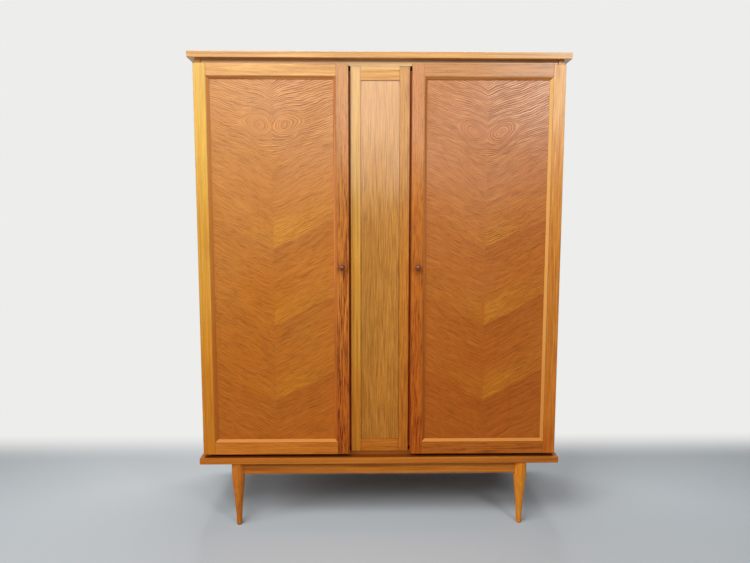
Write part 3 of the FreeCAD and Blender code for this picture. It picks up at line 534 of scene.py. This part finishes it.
def oak(name, number, along, tones, width=0.007, length=0.3, contrast=(1.0, 1.0), pore=0.5, wear_and_highlight=0.35,
        joint_and_shade=0.0, varnished=True, depth=0.6, bleach_and_sheen=0.0, gloss=1.0, rough=SATIN, strips=None,
        touched=None, tone_patches=(), dull_below=None):
    """Satin-varnished oak for one piece. Tones are the dark streaks, the wood and the pale streaks. Strips
    of a frame may have tones of their own, which paint highlights on beads, touched is a spot that hands have
    darkened, patches of tone lie on parts of the piece, some stained and some painted shade, and dull_below
    is where the dull varnish ends."""
    material, tree, shader = new_material("oak_" + name)
    position = add(tree, "TexCoord").outputs["Object"]
    height = split_vector(tree, position)[2]
    vector = grain_vector(tree, name, position, along, number)
    grain = use_group(tree, oak_grain, {"Vector": vector, "Streak Width": width, "Streak Length": length})
    tone = oak_layers(tree, grain, height, tones, contrast, pore)
    dark, _, pale = tones
    for side, strip_tone in (strips or {}).items():
        strip = on_box(tree, mitred_frame, name, position)[side]
        tone = mixed(tree, calc(tree, "MULTIPLY", strip, STRIP_STRENGTH), tone, strip_tone)
    edges = on_box(tree, rubbed_edges_and_highlights, name, position)
    tone = mixed(tree, calc(tree, "MULTIPLY", edges["Wear"], wear_and_highlight), tone, pale)
    if joint_and_shade:
        tone = mixed(tree, calc(tree, "MULTIPLY", edges["Joint And Shade"], joint_and_shade), tone, JOINT_AND_SHADE_DARK)
    if touched:
        spot = use_group(tree, touched_place, {"Position": position, "Middle": touched})["Mask"]
        tone = mixed(tree, calc(tree, "MULTIPLY", spot, TOUCH_STRENGTH), tone, dark)
    for low, high, stain_tone, cover, matt in tone_patches:
        mask = use_group(tree, inside_box, {"Position": position, "Low": low, "High": high})["Mask"]
        tone = mixed(tree, calc(tree, "MULTIPLY", mask, cover), tone, stain_tone)
        if matt:
            gloss = calc(tree, "MULTIPLY", calc(tree, "SUBTRACT", 1.0, mask), gloss)
    if dull_below:
        gloss = remap(tree, height, *dull_below, DULL, gloss)
    if varnished:
        tone = varnish(tree, shader, tone, position, depth, bleach_and_sheen, gloss)
    satin(tree, shader, tone, grain, rough)
    relief(tree, shader, grain["Relief"], *OAK_RELIEF)
    dress(name, material)
    return shader


print("oak is ready")

# %% [markdown]
# No two boards of a real wardrobe have the same tone. The left hinge stile and the carcass top are the palest
# wood, the stiles with the knobs are redder, and the beads are a little darker. One tone for all would look
# like plastic film. Each set of three holds the dark streaks, the wood and the pale streaks.

# %% Tones of the oak
OAK = (colour(180, 106, 30), colour(200, 128, 42), colour(210, 142, 54))
OAK_PALE = (colour(192, 127, 33), colour(206, 144, 42), colour(214, 157, 54))
OAK_RED = (colour(106, 47, 14), colour(179, 105, 32), colour(194, 123, 44))
OAK_RUST = (colour(108, 46, 12), colour(180, 101, 25), colour(192, 117, 36))
OAK_BROWN = (colour(164, 96, 30), colour(190, 121, 41), colour(202, 135, 52))
OAK_POST = (colour(182, 120, 36), colour(197, 137, 44), colour(206, 150, 56))
OAK_DULL = (colour(156, 90, 26), colour(181, 114, 34), colour(193, 128, 44))
# Painted light: a lighter tone for the right front leg, standing in for the light that falls on it.
OAK_PAINTED_LIGHT = (colour(214, 139, 38), colour(230, 157, 48), colour(238, 171, 62))
OAK_BEAD = (colour(146, 78, 26), colour(176, 98, 36), colour(190, 116, 46))
# Painted highlight: the pale bead tone lights single strips of the bead frames and is also the pale band on
# the centre rail; the warm bead tone is a painted lit tone for one strip.
PALE_WOOD_AND_HIGHLIGHT = colour(220, 158, 72)
BEAD_PAINTED_LIGHT = colour(192, 112, 38)
print("pale oak in linear values:", [round(part, 3) for part in OAK_PALE[1][:3]])

# %% [markdown]
# ## Stains and painted shade
# The lips behind the doors' edges carry red staining, and a pale band runs along the rail over the centre
# panel. The rest is painted shade: the wood under the doors, the front edges of the carcass under the top and
# at the bottom, and the underside of the base are painted dark where the doors, the top and the base keep the
# light off. Each patch is a box, open where it has no limit, with a tone, how much of the wood it covers, and
# whether it is matt.

# %% Stains and painted shade on parts of a piece
SKIN = 0.0005
FAR = 9.0
RED_STAIN = colour(192, 76, 26)
UNDERSIDE_SHADE = colour(54, 48, 42)
PALE_BAND_FROM = 1.744
LIP_FROM = 0.1101
TOP_SHADOW_FROM = 1.770


def tone_patch(tone, cover, matt, x=(0.0, FAR), y=(-FAR, FAR), z=(-FAR, FAR)):
    """A tone over a part of a piece, from and to a place along each axis."""
    low, high = zip(x, y, z)
    return low, high, tone, cover, matt


carcass_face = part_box("carcass_top")[0].y
base_low, base_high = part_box("base_board")
door_span = (0.0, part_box("right_door_hinge_stile")[1].x)
front_face = (-FAR, carcass_face + SKIN)
pale_band = tone_patch(PALE_WOOD_AND_HIGHLIGHT, cover=0.8, matt=False, z=(PALE_BAND_FROM, FAR))
lip_stain = tone_patch(RED_STAIN, cover=1.0, matt=True, x=(LIP_FROM, FAR))
# Painted shadow under the overhang of the top, on the front edge of the carcass top.
painted_shadow_under_top = tone_patch(JOINT_AND_SHADE_DARK, cover=0.85, matt=True, y=front_face, z=(TOP_SHADOW_FROM, FAR))
# Painted shade on the front edge of the carcass bottom.
painted_shade_bottom_front = tone_patch(JOINT_AND_SHADE_DARK, cover=0.45, matt=True, y=front_face)
# Painted shade: the underside of the base is made nearly black.
painted_shade_underside = tone_patch(UNDERSIDE_SHADE, cover=0.85, matt=False, z=(-FAR, base_low.z + SKIN))
# Painted shade on the base board in the recess under the doors.
painted_shade_under_doors = tone_patch(JOINT_AND_SHADE_DARK, cover=0.8, matt=True, x=door_span, y=(door_face_y, carcass_face + SKIN),
                    z=(base_high.z - SKIN, FAR))
print("dark wood under the doors from", round(door_face_y, 4), "to", round(carcass_face, 4), "m")

# %% [markdown]
# Pieces of one kind share a finish. The left hinge stile is quiet and the right one livelier, the stiles with
# the knobs are full of dark streaks near the floor and dull where hands rub them, and the stiles beside the
# centre panel have red staining on their lips and strong pale edges, a painted highlight. A finish is a set
# of named values, so a piece that differs in one value takes the set and changes that one.

# %% Finishes of the oak pieces
DULL_HEIGHT = (1.2, 1.55)
STREAKS_NEAR_TOP = 0.35
side_board = {"width": 0.012, "length": 0.6}
rail = {"length": 0.15, "joint_and_shade": 0.6}
quiet = {"contrast": (0.7, 0.7), "depth": 1.0, "joint_and_shade": 0.5, "gloss": 0.65}
lively = quiet | {"width": 0.005, "length": 0.16, "contrast": (1.5, 1.2)}
bead = {"width": 0.004, "gloss": 0.2}
# Painted highlight: the strong pale edges of these stiles stand in for light along their edges.
post = {"joint_and_shade": 1.0, "wear_and_highlight": 0.7, "bleach_and_sheen": 0.3, "gloss": 0.8, "tone_patches": [lip_stain]}
dull_post = post | {"width": 0.004, "length": 0.12, "contrast": (1.6, 1.4), "bleach_and_sheen": 0.1, "gloss": 0.7}
turned_leg = {"wear_and_highlight": 0.0, "width": 0.005, "length": 0.15}


def streaky(side, strength):
    """The finish of a stile with a knob: dark streaks near the floor, and a hand-worn place."""
    low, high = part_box(side + "_knob")
    place = ((low.x + high.x) / 2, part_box(side + "_door_lock_stile")[0].y, (low.z + high.z) / 2)
    return {"width": 0.0032, "length": 0.08, "contrast": (strength, STREAKS_NEAR_TOP), "depth": 0.9,
            "joint_and_shade": 0.5, "touched": place, "dull_below": DULL_HEIGHT}


print("finishes ready")

# %% [markdown]
# The table names each piece, the axis along its grain, its tones and its finish. A loop over a table is
# shorter than thirty calls, and the row's number shifts the pattern, so each row is a different board.

# %% Dress the oak pieces
oak_pieces = [
    ("top_board", "X", OAK_BROWN, {"length": 0.5, "gloss": 0.8}),
    ("base_board", "X", OAK_BROWN, {"length": 0.5, "tone_patches": [painted_shade_underside, painted_shade_under_doors]}),
    ("left_side", "Z", OAK, side_board),
    ("right_side", "Z", OAK, side_board),
    ("carcass_top", "X", OAK_PALE, {"bleach_and_sheen": 0.4, "tone_patches": [painted_shadow_under_top]}),
    ("carcass_bottom", "X", OAK_BROWN, {"joint_and_shade": 0.9, "wear_and_highlight": 0.0, "tone_patches": [painted_shade_bottom_front]}),
    ("left_door_hinge_stile", "Z", OAK_PALE, quiet),
    ("right_door_hinge_stile", "Z", OAK, lively),
    ("left_door_lock_stile", "Z", OAK_RED, streaky("left", 2.8)),
    ("right_door_lock_stile", "Z", OAK_RUST, streaky("right", 1.4)),
    ("left_door_top_rail", "X", OAK_BROWN, rail | {"gloss": 0.7}),
    ("right_door_top_rail", "X", OAK_RED, rail | {"contrast": (1.0, 0.4), "gloss": 0.8}),
    ("left_door_bottom_rail", "X", OAK, rail),
    ("right_door_bottom_rail", "X", OAK_RED, rail | {"contrast": (0.6, 0.6)}),
    # Painted light on the beads: the pale strips are painted highlights on the bevels that face the light,
    # and the warm left strip of the left door is painted lit wood.
    ("left_door_beads", "frame", OAK_BEAD, bead | {"strips": {"Left": BEAD_PAINTED_LIGHT, "Bottom": PALE_WOOD_AND_HIGHLIGHT}}),
    ("right_door_beads", "frame", OAK_BEAD, bead | {"strips": {"Right": PALE_WOOD_AND_HIGHLIGHT, "Bottom": PALE_WOOD_AND_HIGHLIGHT}}),
    ("centre_left_stile", "Z", OAK_POST, post),
    ("centre_right_stile", "Z", OAK_DULL, dull_post),
    ("centre_top_rail", "X", OAK_BROWN, rail | {"gloss": 0.7, "tone_patches": [pale_band]}),
    ("centre_bottom_rail", "X", OAK_BROWN, rail),
    # Painted shade: the dark line along the lower edge of the front apron stands in for the shadow under it.
    ("front_apron", "X", OAK_BROWN, {"wear_and_highlight": 0.0, "joint_and_shade": 0.8}),
    ("back_apron", "X", OAK_BROWN, {}),
    ("left_apron", "Y", OAK_BROWN, {}),
    ("right_apron", "Y", OAK_BROWN, {}),
    ("leg_front_left", "Z", OAK, turned_leg),
    # Painted light: the right front leg gets a lighter tone for the light that falls on it.
    ("leg_front_right", "Z", OAK_PAINTED_LIGHT, turned_leg | {"depth": 0.8}),
    ("leg_back_left", "Z", OAK, turned_leg),
    ("leg_back_right", "Z", OAK, turned_leg)]
for number, (piece, along, tones, finish) in enumerate(oak_pieces, start=1):
    oak(piece, number, along, tones, **finish)
print("oak pieces:", len(oak_pieces))

# %% [markdown]
# ## Book-matched veneer
# Each door panel carries two sheets of veneer cut from the same log and opened like a book, so the figure
# is mirrored about the seam. Painting it would take an image. Here the mirror is the absolute distance from
# the seam. A veneer shows the growth rings as a map shows the height of the land, so the lines are contour
# lines of a slope that comes down towards the seam and wanders a little.

# %% Start the book match: the seam and the slope
LEAN_LOW, LEAN_HIGH = 0.5, 0.36
LEAN_CHANGE = (1.3, 1.65)
WANDER_SCALE, WANDER = 4.0, 0.012
SWING_SPAN = (0.2, 0.8)
EYE_OFF_SEAM = 0.05
EYE_HALF_WIDTH, EYE_HALF_HEIGHT = 0.068, 0.041
WOBBLE_SCALE, EYE_WOBBLE = 22.0, 0.007
FLATTER_AT_EYE = (0.6, 3.6, 0.5, 1.0)

book_match, come, go = new_group("book_match", {
    "Position": ("Vector", (0, 0, 0)), "Seam": ("Float", 0.0), "Eye Height": ("Float", 1.53),
    "Leaf": ("Float", 0.0)},
    ["Along", "Across", "Rings", "Ridges", "Flame", "Shade", "Right Sheet", "Near Eye"])
tree = book_match
x, _, z = split_vector(tree, come["Position"])
from_seam = calc(tree, "SUBTRACT", x, come["Seam"])
out = calc(tree, "ABSOLUTE", from_seam)
mirrored = joined_vector(tree, out, come["Leaf"], z)


def swing(scale, reach):
    """Slow noise, the same on both sheets, from minus to plus a reach."""
    slow = noise(tree, mirrored, scale=scale, detail=1.0)
    return remap(tree, slow, *SWING_SPAN, -reach, reach, smooth=False)


lean = remap(tree, z, *LEAN_CHANGE, LEAN_LOW, LEAN_HIGH)
off_eye = calc(tree, "ADD", calc(tree, "SUBTRACT", out, EYE_OFF_SEAM), swing(WOBBLE_SCALE, EYE_WOBBLE))
beside = calc(tree, "DIVIDE", off_eye, EYE_HALF_WIDTH)
over = calc(tree, "DIVIDE", calc(tree, "SUBTRACT", z, come["Eye Height"]), EYE_HALF_HEIGHT)
off_middle = calc(tree, "MULTIPLY_ADD", beside, beside, calc(tree, "MULTIPLY", over, over))
off_middle = calc(tree, "SQRT", off_middle)
rise = calc(tree, "MULTIPLY_ADD", off_eye, remap(tree, off_middle, *FLATTER_AT_EYE), EYE_OFF_SEAM)
slope = calc(tree, "SUBTRACT", z, calc(tree, "MULTIPLY", lean, rise))
slope = calc(tree, "ADD", slope, swing(WANDER_SCALE, WANDER))
print("lines lean", LEAN_LOW, "below and", LEAN_HIGH, "above")

# %% [markdown]
# Near the top each sheet has an eye where a branch grew. Drawn as circles it would look like a target. In
# the wood the growth lines part round a pointed oval, a lens that is highest in the middle and runs out to
# both sides, and inside it they close to rings. The wobble from above keeps the oval from looking drawn.

# %% The eye in the slope
EYE_RINGS = 5.6
RING_STEP = 0.0078

eye_level = calc(tree, "SUBTRACT", come["Eye Height"], calc(tree, "MULTIPLY", lean, EYE_OFF_SEAM))
above = calc(tree, "SUBTRACT", slope, eye_level)
swell = calc(tree, "MAXIMUM", calc(tree, "SUBTRACT", 1.0, calc(tree, "MULTIPLY", beside, beside)), 0.0)
swell = calc(tree, "MULTIPLY", swell, swell)
lens = calc(tree, "MULTIPLY", swell, EYE_HALF_HEIGHT ** 2)
parted = calc(tree, "SUBTRACT", calc(tree, "MULTIPLY", above, above), lens)
parted = calc(tree, "MULTIPLY", calc(tree, "SQRT", calc(tree, "MAXIMUM", parted, 0.0)),
              calc(tree, "SIGN", above))
lifted = calc(tree, "DIVIDE", above, EYE_HALF_HEIGHT)
far = calc(tree, "SQRT", calc(tree, "ADD", calc(tree, "SUBTRACT", 1.0, swell),
                              calc(tree, "MULTIPLY", lifted, lifted)))
within = calc(tree, "MAXIMUM", calc(tree, "SUBTRACT", 1.0, far), 0.0)
within = calc(tree, "MULTIPLY", within, EYE_RINGS * RING_STEP)
ground = calc(tree, "ADD", eye_level, calc(tree, "ADD", parted, within))
flow = joined_vector(tree, out, ground, come["Leaf"])
print("eye", 2 * EYE_HALF_WIDTH, "m wide and", 2 * EYE_HALF_HEIGHT, "m high")

# %% [markdown]
# The contour lines become growth lines: a dark line at each step of the slope and a pale ridge half-way
# between two of them. Real lines are uneven, ragged and broken, so three noises shift and break them. The
# rim of the eye is fainter than the lines round it.

# %% Growth lines
UNEVEN_SCALE, UNEVEN = (7.0, 30.0, 40.0), 1.2
RAGGED_SCALE, RAGGED = 70.0, 0.5
BREAK_SCALE = (16.0, 110.0, 110.0)
RING_EDGE, RIDGE_EDGE = (0.24, 0.42), (0.05, 0.2)
RING_BREAKS, RIDGE_BREAKS = (0.36, 0.56, 0.15, 1.0), (0.4, 0.6, 1.0, 0.1)
FAINT_RIM = (0.9, 1.4, 0.6, 1.0)

uneven = calc(tree, "MULTIPLY", noise(tree, vector_calc(tree, "MULTIPLY", flow, UNEVEN_SCALE)), UNEVEN)
ragged = calc(tree, "MULTIPLY", noise(tree, mirrored, scale=RAGGED_SCALE, detail=3.0), RAGGED)
broken = noise(tree, vector_calc(tree, "MULTIPLY", flow, BREAK_SCALE))
line = calc(tree, "ADD", calc(tree, "DIVIDE", ground, RING_STEP), uneven)
line = calc(tree, "FRACT", calc(tree, "ADD", line, ragged))
line = calc(tree, "ABSOLUTE", calc(tree, "SUBTRACT", line, 0.5))
faint = remap(tree, far, *FAINT_RIM)
ring = calc(tree, "MULTIPLY", remap(tree, line, *RING_EDGE), remap(tree, broken, *RING_BREAKS))
ring = calc(tree, "MULTIPLY", ring, faint)
ridge = remap(tree, line, *RIDGE_EDGE, 1.0, 0.0)
ridge = calc(tree, "MULTIPLY", ridge, remap(tree, broken, *RIDGE_BREAKS))
ridge = calc(tree, "MULTIPLY", ridge, calc(tree, "MULTIPLY", faint, faint))
print("a growth line each", RING_STEP, "m")

# %% [markdown]
# Lower down, pale flames lie one above the other at even steps, sharp below and fading upwards, each with
# a shade under it. They follow the same slope, so a sawtooth of the slope is enough to place them all.

# %% Flames, and the way out of the group
FLAME_START, FLAME_STEP = 0.502, 0.294
FLAME_EDGE, FLAME_FADE = (0.0, 0.03), (0.08, 0.5)
FLAME_PATCHES, PATCHY = (9.0, 14.0, 14.0), (0.3, 0.6, 0.35, 1.0)
SHADE_PART = (0.6, 1.0)
FLAMES_END = (1.3, 1.45)
EYE_REACH = (1.2, 4.0)

step = calc(tree, "FRACT", calc(tree, "DIVIDE", calc(tree, "SUBTRACT", slope, FLAME_START), FLAME_STEP))
lower_part = remap(tree, z, *FLAMES_END, 1.0, 0.0)
flame = calc(tree, "MULTIPLY", remap(tree, step, *FLAME_EDGE), remap(tree, step, *FLAME_FADE, 1.0, 0.0))
patch = noise(tree, vector_calc(tree, "MULTIPLY", flow, FLAME_PATCHES))
flame = calc(tree, "MULTIPLY", flame, remap(tree, patch, *PATCHY))
shade = remap(tree, step, *SHADE_PART, smooth=False)
for label, value in (("Along", out), ("Across", ground), ("Rings", ring), ("Ridges", ridge),
                     ("Flame", calc(tree, "MULTIPLY", flame, lower_part)),
                     ("Shade", calc(tree, "MULTIPLY", shade, lower_part)),
                     ("Right Sheet", calc(tree, "GREATER_THAN", from_seam, 0.0)),
                     ("Near Eye", remap(tree, far, *EYE_REACH, 1.0, 0.0))):
    tree.links.new(value, go[label])
print("group", book_match.name, "with", len(tree.nodes), "nodes")

# %% [markdown]
# The veneer's own material uses the book match to steer the oak grain. The right-hand sheet of each door
# catches the light more strongly than the left one, as book-matched sheets do, so its flames are paler and
# its lines are crisper. The growth lines are clearest near the top, round the eyes and in the flames, and
# fine hairlines run everywhere.

# %% What the figure of the veneer shows
CLEAR_HEIGHT, FAINT_LINES = (1.3, 1.6), 0.12
FLAME_LINES = 0.75
LEFT_SHEET_LINES = 0.55
FLAME_GOLD = (0.25, 0.85)
GOLD_NEAR_SEAM = (0.03, 0.19, 1.0, 0.4)
HIGHEST_FLAME = (1.0, 1.2)


def by_sheet(tree, match, left, right):
    """One value on the left sheet and another on the right one."""
    return remap(tree, match["Right Sheet"], 0.0, 1.0, left, right)


def clear_lines(tree, match, height, lines):
    """How clearly the growth lines show."""
    clear = remap(tree, height, *CLEAR_HEIGHT, FAINT_LINES, 1.0)
    clear = calc(tree, "MAXIMUM", clear, match["Near Eye"])
    clear = calc(tree, "MAXIMUM", clear, calc(tree, "MULTIPLY", match["Flame"], FLAME_LINES))
    return calc(tree, "MULTIPLY", clear, by_sheet(tree, match, LEFT_SHEET_LINES * lines, lines))


def flame_gold(tree, match, height, top_gold):
    """How golden a flame is: most near the seam, and the highest flame by a share of its own."""
    gold = calc(tree, "MULTIPLY", match["Flame"], by_sheet(tree, match, *FLAME_GOLD))
    gold = calc(tree, "MULTIPLY", gold, remap(tree, match["Along"], *GOLD_NEAR_SEAM))
    return calc(tree, "MULTIPLY", gold, remap(tree, height, *HIGHEST_FLAME, 1.0, top_gold))


print("lines of a left sheet show at", LEFT_SHEET_LINES)

# %% [markdown]
# The layers of the veneer: hairlines, flames and the shade under them, fibres, growth lines and pores, and
# then the varnish. The ridges are made paler, partly as pale wood and partly as a painted highlight along the
# lines. Over the ridges the varnish shines more than in the dark lines, which also lie a little deeper, and
# that makes the lines catch the window.

# %% Veneer on the doors
VENEER_DARK = colour(132, 62, 15)
VENEER = colour(186, 108, 30)
VENEER_RED = colour(177, 96, 26)
VENEER_PALE = colour(200, 128, 46)
FLAME = colour(204, 130, 30)
LEAF_SHIFT, SHEET_SHIFT = 0.41, 0.0015
HAIRLINES = {"Streak Width": 0.002, "Streak Length": 0.08, "Pore Length": 0.03}
DARK_HAIRLINES, PALE_HAIRLINES = (0.5, 0.3, 0.0, 0.42), (0.52, 0.7, 0.0, 0.65)
FLAME_SHADE = (0.08, 0.22)
VENEER_FIBRES = (0.25, 0.75, 0.82, 1.18)
RING_DARK, RIDGE_PALE_AND_HIGHLIGHT, VENEER_PORES = 0.75, 0.8, 0.35
VENEER_DEPTH = 0.45
VENEER_GLOSS, RIDGE_GLOSS, RING_MATT = 0.85, 0.5, 0.45
VENEER_RELIEF = (0.7, 0.001)


def door_veneer(name, number, eye_height, wood, lines, top_gold):
    """Book-matched veneer for one door. Lines is how strong its growth lines are."""
    low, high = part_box(name)
    material, tree, shader = new_material("veneer_" + name)
    position = add(tree, "TexCoord").outputs["Object"]
    height = split_vector(tree, position)[2]
    match = use_group(tree, book_match, {"Position": position, "Seam": (low.x + high.x) / 2,
                                         "Eye Height": eye_height, "Leaf": number * LEAF_SHIFT})
    leaf = calc(tree, "MULTIPLY_ADD", match["Right Sheet"], SHEET_SHIFT, number * LEAF_SHIFT)
    flow = joined_vector(tree, match["Along"], match["Across"], leaf)
    grain = use_group(tree, oak_grain, {"Vector": flow} | HAIRLINES)
    tone = mixed(tree, remap(tree, grain["Streaks"], *DARK_HAIRLINES), wood, VENEER_DARK)
    tone = mixed(tree, remap(tree, grain["Streaks"], *PALE_HAIRLINES), tone, VENEER_PALE)
    tone = mixed(tree, flame_gold(tree, match, height, top_gold), tone, FLAME)
    shade = calc(tree, "MULTIPLY", match["Shade"], by_sheet(tree, match, *FLAME_SHADE))
    tone = mixed(tree, shade, tone, VENEER_DARK)
    tone = shaded(tree, tone, remap(tree, grain["Fibres"], *VENEER_FIBRES, smooth=False))
    clear = clear_lines(tree, match, height, lines)
    rings = calc(tree, "MULTIPLY", match["Rings"], clear)
    ridges = calc(tree, "MULTIPLY", match["Ridges"], clear)
    tone = mixed(tree, calc(tree, "MULTIPLY", rings, RING_DARK), tone, VENEER_DARK)
    # Painted highlight, in part: the ridges are made paler.
    tone = mixed(tree, calc(tree, "MULTIPLY", ridges, RIDGE_PALE_AND_HIGHLIGHT), tone, VENEER_PALE)
    tone = mixed(tree, calc(tree, "MULTIPLY", grain["Pores"], VENEER_PORES), tone, VENEER_DARK)
    gloss = calc(tree, "MULTIPLY_ADD", ridges, RIDGE_GLOSS, VENEER_GLOSS)
    gloss = calc(tree, "SUBTRACT", gloss, calc(tree, "MULTIPLY", rings, RING_MATT))
    tone = varnish(tree, shader, tone, position, VENEER_DEPTH, gloss=gloss)
    satin(tree, shader, tone, grain, SATIN)
    relief(tree, shader, calc(tree, "SUBTRACT", grain["Relief"], rings), *VENEER_RELIEF)
    dress(name, material)


door_veneer("left_door_panel", 1, eye_height=1.538, wood=VENEER, lines=1.0, top_gold=1.1)
door_veneer("right_door_panel", 2, eye_height=1.522, wood=VENEER_RED, lines=1.2, top_gold=0.4)
print("veneered doors: 2")

# %% [markdown]
# ## Quiet veneers
# The panel between the doors has straight, fine, upright grain and a cooler, more olive colour. Inside, the
# shelves and the partition wear a pale smooth veneer, and the back is thin plywood. These could have
# materials of a new kind, but they are oak or look like it, so the oak function serves with other values.

# %% Centre panel, inside and back
CENTRE = (colour(144, 87, 29), colour(178, 113, 38), colour(194, 131, 53))
INSIDE = (colour(196, 160, 112), colour(222, 190, 142), colour(234, 206, 162))
PLYWOOD = (colour(170, 128, 80), colour(206, 168, 116), colour(222, 188, 138))
fine_upright = {"width": 0.0018, "length": 0.1, "contrast": (1.2, 1.6), "pore": 0.6, "wear_and_highlight": 0.0,
                "depth": 0.1, "bleach_and_sheen": 0.4, "gloss": 0.68}
smooth = {"width": 0.012, "length": 0.5, "pore": 0.15, "varnished": False}
rough_ply = {"width": 0.009, "length": 0.45, "pore": 0.3, "contrast": (0.6, 0.6), "joint_and_shade": 0.5,
             "varnished": False, "rough": (0.55, 0.7)}
dowel = {"width": 0.002, "length": 0.03, "wear_and_highlight": 0.0, "varnished": False}

veneered = [
    ("centre_panel", "Z", CENTRE, fine_upright),
    ("centre_partition", "Z", INSIDE, smooth),
    ("shelf_1", "X", INSIDE, smooth),
    ("shelf_2", "X", INSIDE, smooth),
    ("shelf_3", "X", INSIDE, smooth),
    ("shelf_4", "X", INSIDE, smooth),
    ("hat_shelf", "X", INSIDE, smooth),
    ("left_back_panel", "Z", PLYWOOD, rough_ply),
    ("right_back_panel", "Z", PLYWOOD, rough_ply),
    ("carcass_dowels", "X", INSIDE, dowel)]
for number, (piece, along, tones, finish) in enumerate(veneered, start=len(oak_pieces) + 1):
    oak(piece, number, along, tones, **finish)
print("veneered pieces:", len(veneered))

# %% [markdown]
# ## Knobs
# The two turned knobs are of a darker, redder wood with a polished face, so they get a clear coat in place
# of the aged varnish.

# %% Wood for the knobs
KNOB = (colour(76, 28, 9), colour(124, 54, 19), colour(150, 78, 36))
KNOB_COAT, KNOB_COAT_ROUGHNESS = 0.8, 0.1
polished = {"width": 0.003, "length": 0.03, "wear_and_highlight": 0.0, "varnished": False, "rough": (0.25, 0.36)}
for number, side in enumerate(("left", "right")):
    shader = oak(side + "_knob", number, "Y", KNOB, **polished)
    shader["Coat Weight"].default_value = KNOB_COAT
    shader["Coat Roughness"].default_value = KNOB_COAT_ROUGHNESS
print("knobs done")

# %% [markdown]
# ## Metal and plastic
# The hinges, their screws and the shelf pins are brass, gone a little brown. The hanging rail, the strike
# plates and the nails are plain steel. Fine noise in colour and roughness stands for tarnish and
# handling: a metal with one single value everywhere looks like a toy.

# %% Hardware
TARNISH_SCALE, TARNISH_EDGE = 60.0, (0.4, 0.7)
SCRATCH_SCALE, METAL_RELIEF = 900.0, (0.15, 0.0001)
GRIME_SCALE, GRIME_EDGE = 120.0, (0.45, 0.7)
PLASTIC_ROUGHNESS = (0.4, 0.6)
SKIN_SCALE, PLASTIC_RELIEF = 1500.0, (0.2, 0.0002)


def metal(name, bright, dull, roughness, pieces):
    """A metal that has tarnished in patches, for several pieces."""
    material, tree, shader = new_material(name)
    position = add(tree, "TexCoord").outputs["Object"]
    tarnish = noise(tree, position, scale=TARNISH_SCALE, detail=4.0)
    tree.links.new(mixed(tree, remap(tree, tarnish, *TARNISH_EDGE), bright, dull), shader["Base Color"])
    tree.links.new(remap(tree, tarnish, *NOISE_SPAN, *roughness), shader["Roughness"])
    shader["Metallic"].default_value = 1.0
    relief(tree, shader, noise(tree, position, scale=SCRATCH_SCALE), *METAL_RELIEF)
    for piece in pieces:
        dress(piece, material)


def plastic(name, tone, worn, pieces):
    """A moulded plastic with a little grime, for several pieces."""
    material, tree, shader = new_material(name)
    position = add(tree, "TexCoord").outputs["Object"]
    grime = noise(tree, position, scale=GRIME_SCALE, detail=4.0)
    tree.links.new(mixed(tree, remap(tree, grime, *GRIME_EDGE), tone, worn), shader["Base Color"])
    tree.links.new(remap(tree, grime, *NOISE_SPAN, *PLASTIC_ROUGHNESS), shader["Roughness"])
    relief(tree, shader, noise(tree, position, scale=SKIN_SCALE), *PLASTIC_RELIEF)
    for piece in pieces:
        dress(piece, material)


metal("aged_brass", colour(214, 172, 96), colour(150, 108, 52), (0.24, 0.42),
      ["hinge_frame_leaves", "hinge_pins", "left_door_hinge_leaves", "right_door_hinge_leaves",
       "left_door_screws", "right_door_screws", "hardware_screws", "left_knob_screw", "right_knob_screw",
       "shelf_pins"])
metal("plain_steel", colour(186, 186, 184), colour(140, 136, 130), (0.25, 0.45),
      ["hanging_rail", "rail_sockets", "back_panel_nails", "carcass_screws", "left_door_strike_plates",
       "right_door_strike_plates"])
plastic("catch_plastic", colour(214, 204, 184), colour(184, 168, 140), ["door_catches"])
plastic("glide_plastic", colour(92, 70, 52), colour(62, 48, 38), ["foot_glides"])
print("hardware done")

# %% [markdown]
# ## The end

# %% The end
print("done")
